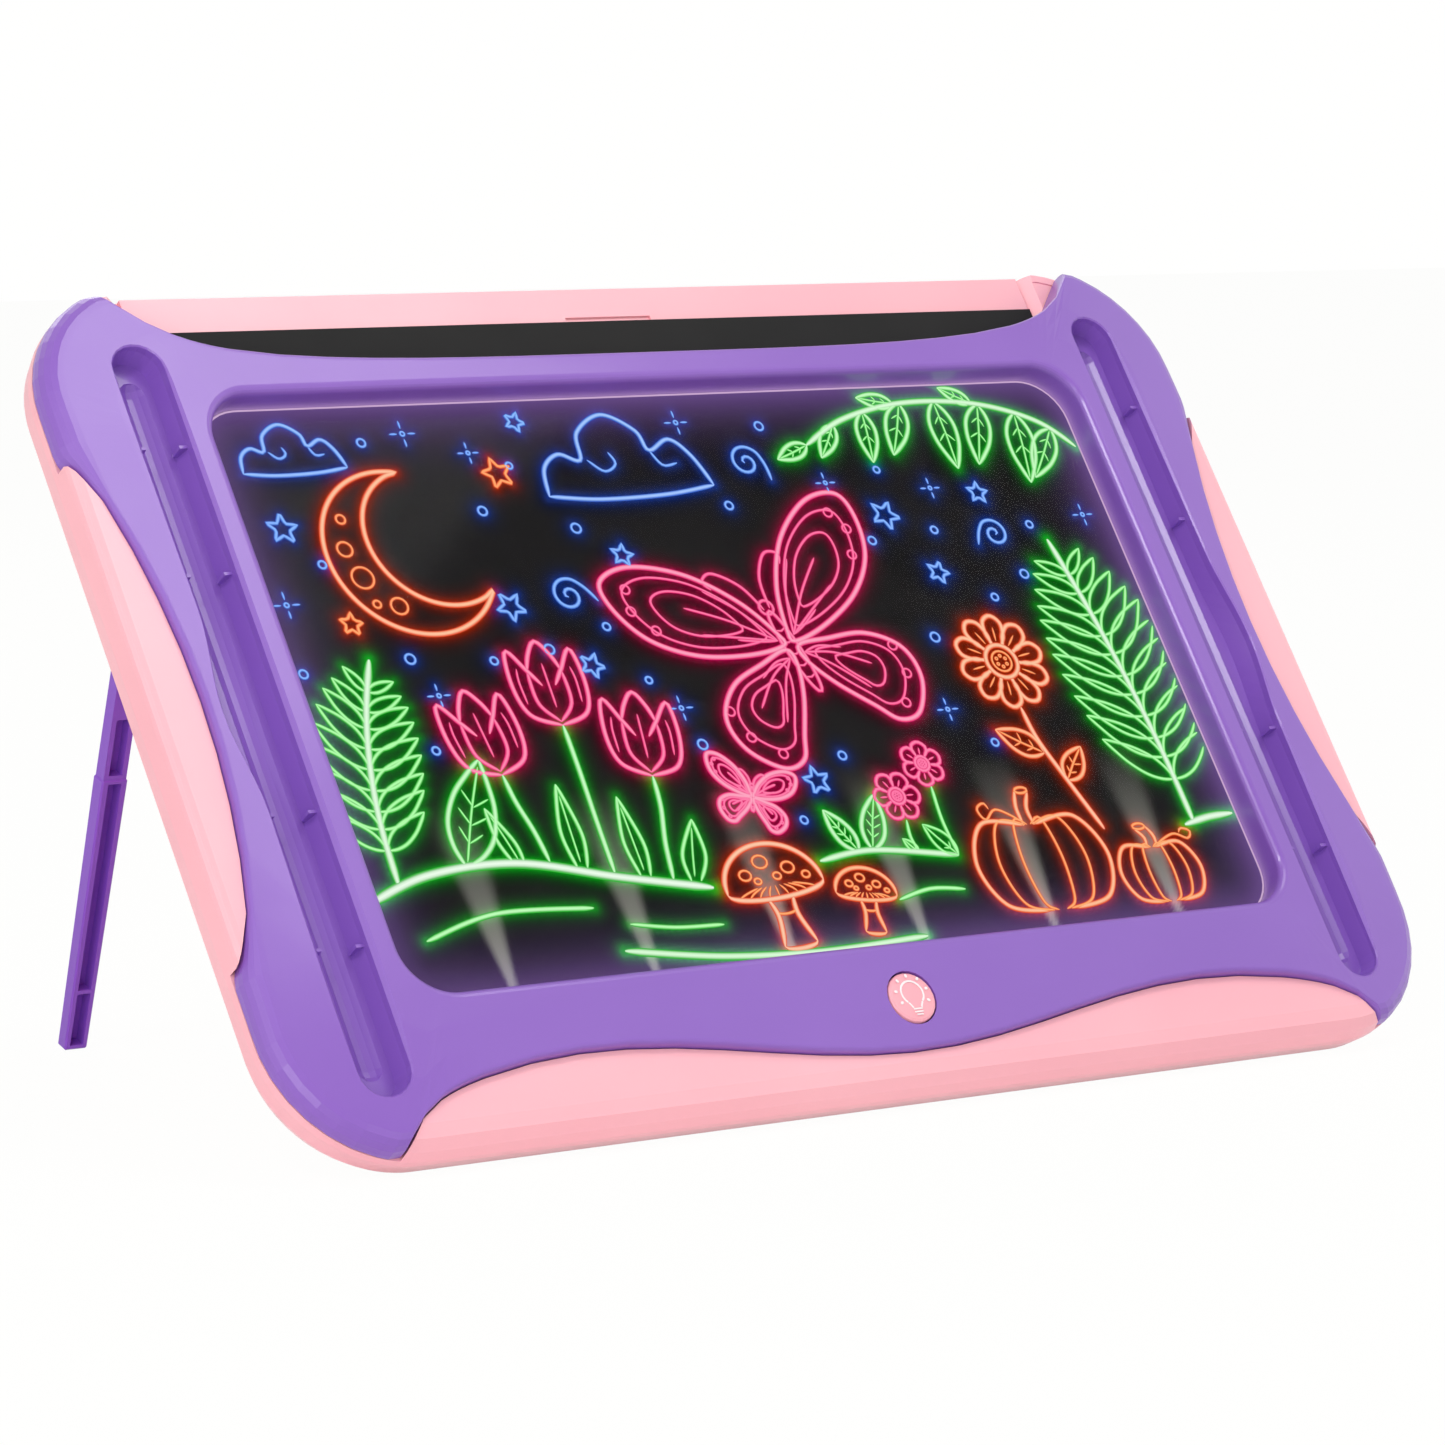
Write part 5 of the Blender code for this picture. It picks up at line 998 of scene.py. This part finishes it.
SCREW_STEEL = metal("screw_steel", (0.62, 0.62, 0.63), (0.42, 0.42, 0.44))
CONTACT_STEEL = metal("contact_steel", (0.70, 0.69, 0.66), (0.52, 0.51, 0.48), 1400.0)
ACRYLIC = clear_acrylic()
BOARD_GREEN = circuit_board("green_circuit_board", (0.020, 0.150, 0.055), (0.050, 0.270, 0.090))
BOARD_WHITE = circuit_board("white_circuit_board", (0.80, 0.81, 0.79), (0.66, 0.67, 0.64))
LED_LENS = led_lens()
INK = lit_ink("lit_ink", False)
FILM = lit_ink("panel_light", True)
ICON = plastic("button_print", (1.0, 0.90, 0.91), (1.0, 0.88, 0.89), (0.34, 0.42))

NODE_FINISHES = (
    (("front_frame",), PURPLE),
    (("leg_left", "leg_right"), LEG_SHADE_PURPLE),
    (("rear_shell", "sheet_backplate", "battery_cover"), PINK),
    (("power_button",), BUTTON_PINK),
    (("drawing_panel",), ACRYLIC),
    (("backing_sheet",), SHEET_BLACK),
    (("switch_body", "controller_chip"), HOUSING_BLACK),
    (("switch_plunger",), PLUNGER_WHITE),
    (("main_board",), BOARD_GREEN),
    (("led_board",), BOARD_WHITE),
    (tuple(f"led_{i}" for i in range(1, 7)), LED_LENS),
    (tuple(f"battery_cell_{i}" for i in range(1, 4)), CELL_JACKET),
    (("battery_wire_red", "led_wire_red"), WIRE_RED),
    (("battery_wire_black", "led_wire_black"), WIRE_BLACK),
    (tuple(f"case_screw_{i}" for i in range(1, 7)), SCREW_STEEL),
    (("board_screw_1", "board_screw_2", "cover_screw", "leg_pin_left", "leg_pin_right"), SCREW_STEEL),
    (tuple(f"contact_plate_{i}" for i in range(1, 4)), CONTACT_STEEL),
    (tuple(f"contact_spring_{i}" for i in range(1, 4)), CONTACT_STEEL),
)


def dress_nodes():
    for names, finish in NODE_FINISHES:
        for name in names:
            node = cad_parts[name]
            if not node.material_slots:
                node.data.materials.append(finish)
            for slot in node.material_slots:
                slot.material = finish


def draw_on_panel():
    face = PANEL_FACE_MM - FILM_LIFT - FILM_THICK - INK_GAP
    for ink, strokes in DRAWING.items():
        core, edge, _ = INKS[ink]
        piece = ink_piece(f"drawing_{ink}", strokes, INK, face, INK_HEIGHT, core, edge)
        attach(piece, "case")
    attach(light_film(FILM), "case")
    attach(panel_edge_line(INK), "case")
    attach(wall_glow(FILM), "case")
    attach(button_icon(ICON), "power_button")


# Floor, world and lights

def floor_finish():
    """A pale floor that keeps the object's soft shadow and shows near white."""
    finish, nodes, links, shader = bare_finish("studio_floor")
    shader.inputs["Base Color"].default_value = (0.97, 0.97, 0.965, 1)
    shader.inputs["Roughness"].default_value = 0.9
    shader.inputs["Specular IOR Level"].default_value = 0.0
    white = nodes.new("ShaderNodeEmission")
    white.inputs["Color"].default_value = (1.0, 1.0, 0.992, 1)
    seen = seen_rays(nodes, links)
    share = nodes.new("ShaderNodeMath")
    share.operation = "MULTIPLY"
    share.inputs[1].default_value = 0.972
    links.new(seen, share.inputs[0])
    mix = nodes.new("ShaderNodeMixShader")
    links.new(share.outputs["Value"], mix.inputs["Fac"])
    links.new(shader.outputs["BSDF"], mix.inputs[1])
    links.new(white.outputs["Emission"], mix.inputs[2])
    links.new(mix.outputs["Shader"], nodes["Material Output"].inputs["Surface"])
    return finish


def seen_rays(nodes, links):
    """One for a ray that comes from the camera, a gloss or a clear piece."""
    path = nodes.new("ShaderNodeLightPath")
    total = path.outputs["Is Camera Ray"]
    for kind in ("Is Glossy Ray", "Is Transmission Ray"):
        most = nodes.new("ShaderNodeMath")
        most.operation = "MAXIMUM"
        links.new(total, most.inputs[0])
        links.new(path.outputs[kind], most.inputs[1])
        total = most.outputs["Value"]
    return total


def add_floor():
    shape = bmesh.new()
    bmesh.ops.create_grid(shape, x_segments=4, y_segments=4, size=4.0)
    floor = finished_mesh("studio_floor", shape, floor_finish(), smooth=False)


def set_world():
    world = bpy.data.worlds.new("studio_air")
    world.use_nodes = True
    nodes, links = world.node_tree.nodes, world.node_tree.links
    air = nodes["Background"]
    strength = nodes.new("ShaderNodeMapRange")
    links.new(seen_rays(nodes, links), strength.inputs["Value"])
    strength.inputs["To Min"].default_value = 0.28
    strength.inputs["To Max"].default_value = 1.0
    air.inputs["Color"].default_value = (1.0, 1.0, 0.995, 1)
    links.new(strength.outputs["Result"], air.inputs["Strength"])
    bpy.context.scene.world = world


# Each light's name, place, aim, size in metres and power in watts
LIGHTS = (
    ("key_softbox", (-0.9, -0.5, 1.2), (0, 0, 0.08), (0.22, 0.22), 4.4),
    ("sheen_softbox", (0.30, -0.37, 1.15), (-0.12, 0, 0.1), (0.5, 0.5), 4.2),
    ("side_softbox", (-1.4, -0.35, 0.55), (0, 0, 0.08), (1.4, 1.2), 4.6),
    ("corner_softbox", (-1.05, -1.0, 0.40), (0, 0, 0.1), (0.40, 0.70), 4.8),
    ("front_softbox", (0.4, -1.5, 0.35), (0, 0, 0.08), (1.2, 0.7), 2.0),
    ("right_softbox", (1.3, -0.5, 0.6), (0, 0, 0.08), (1.5, 1.4), 4.2),
    ("rim_softbox", (0.3, 1.3, 1.0), (0, 0, 0.1), (1.2, 0.6), 4.5),
)


def add_light(name, place, aim, size, power):
    lamp = bpy.data.lights.new(name, "AREA")
    lamp.shape = "RECTANGLE"
    lamp.size, lamp.size_y = size
    lamp.energy = power
    thing = bpy.data.objects.new(name, lamp)
    thing.location = place
    thing.rotation_euler = (Vector(aim) - Vector(place)).to_track_quat("-Z", "Y").to_euler()
    bpy.context.scene.collection.objects.link(thing)


bpy.context.scene.view_settings.view_transform = "Standard"
set_camera()
dress_nodes()
draw_on_panel()
add_floor()
set_world()
for light in LIGHTS:
    add_light(*light)
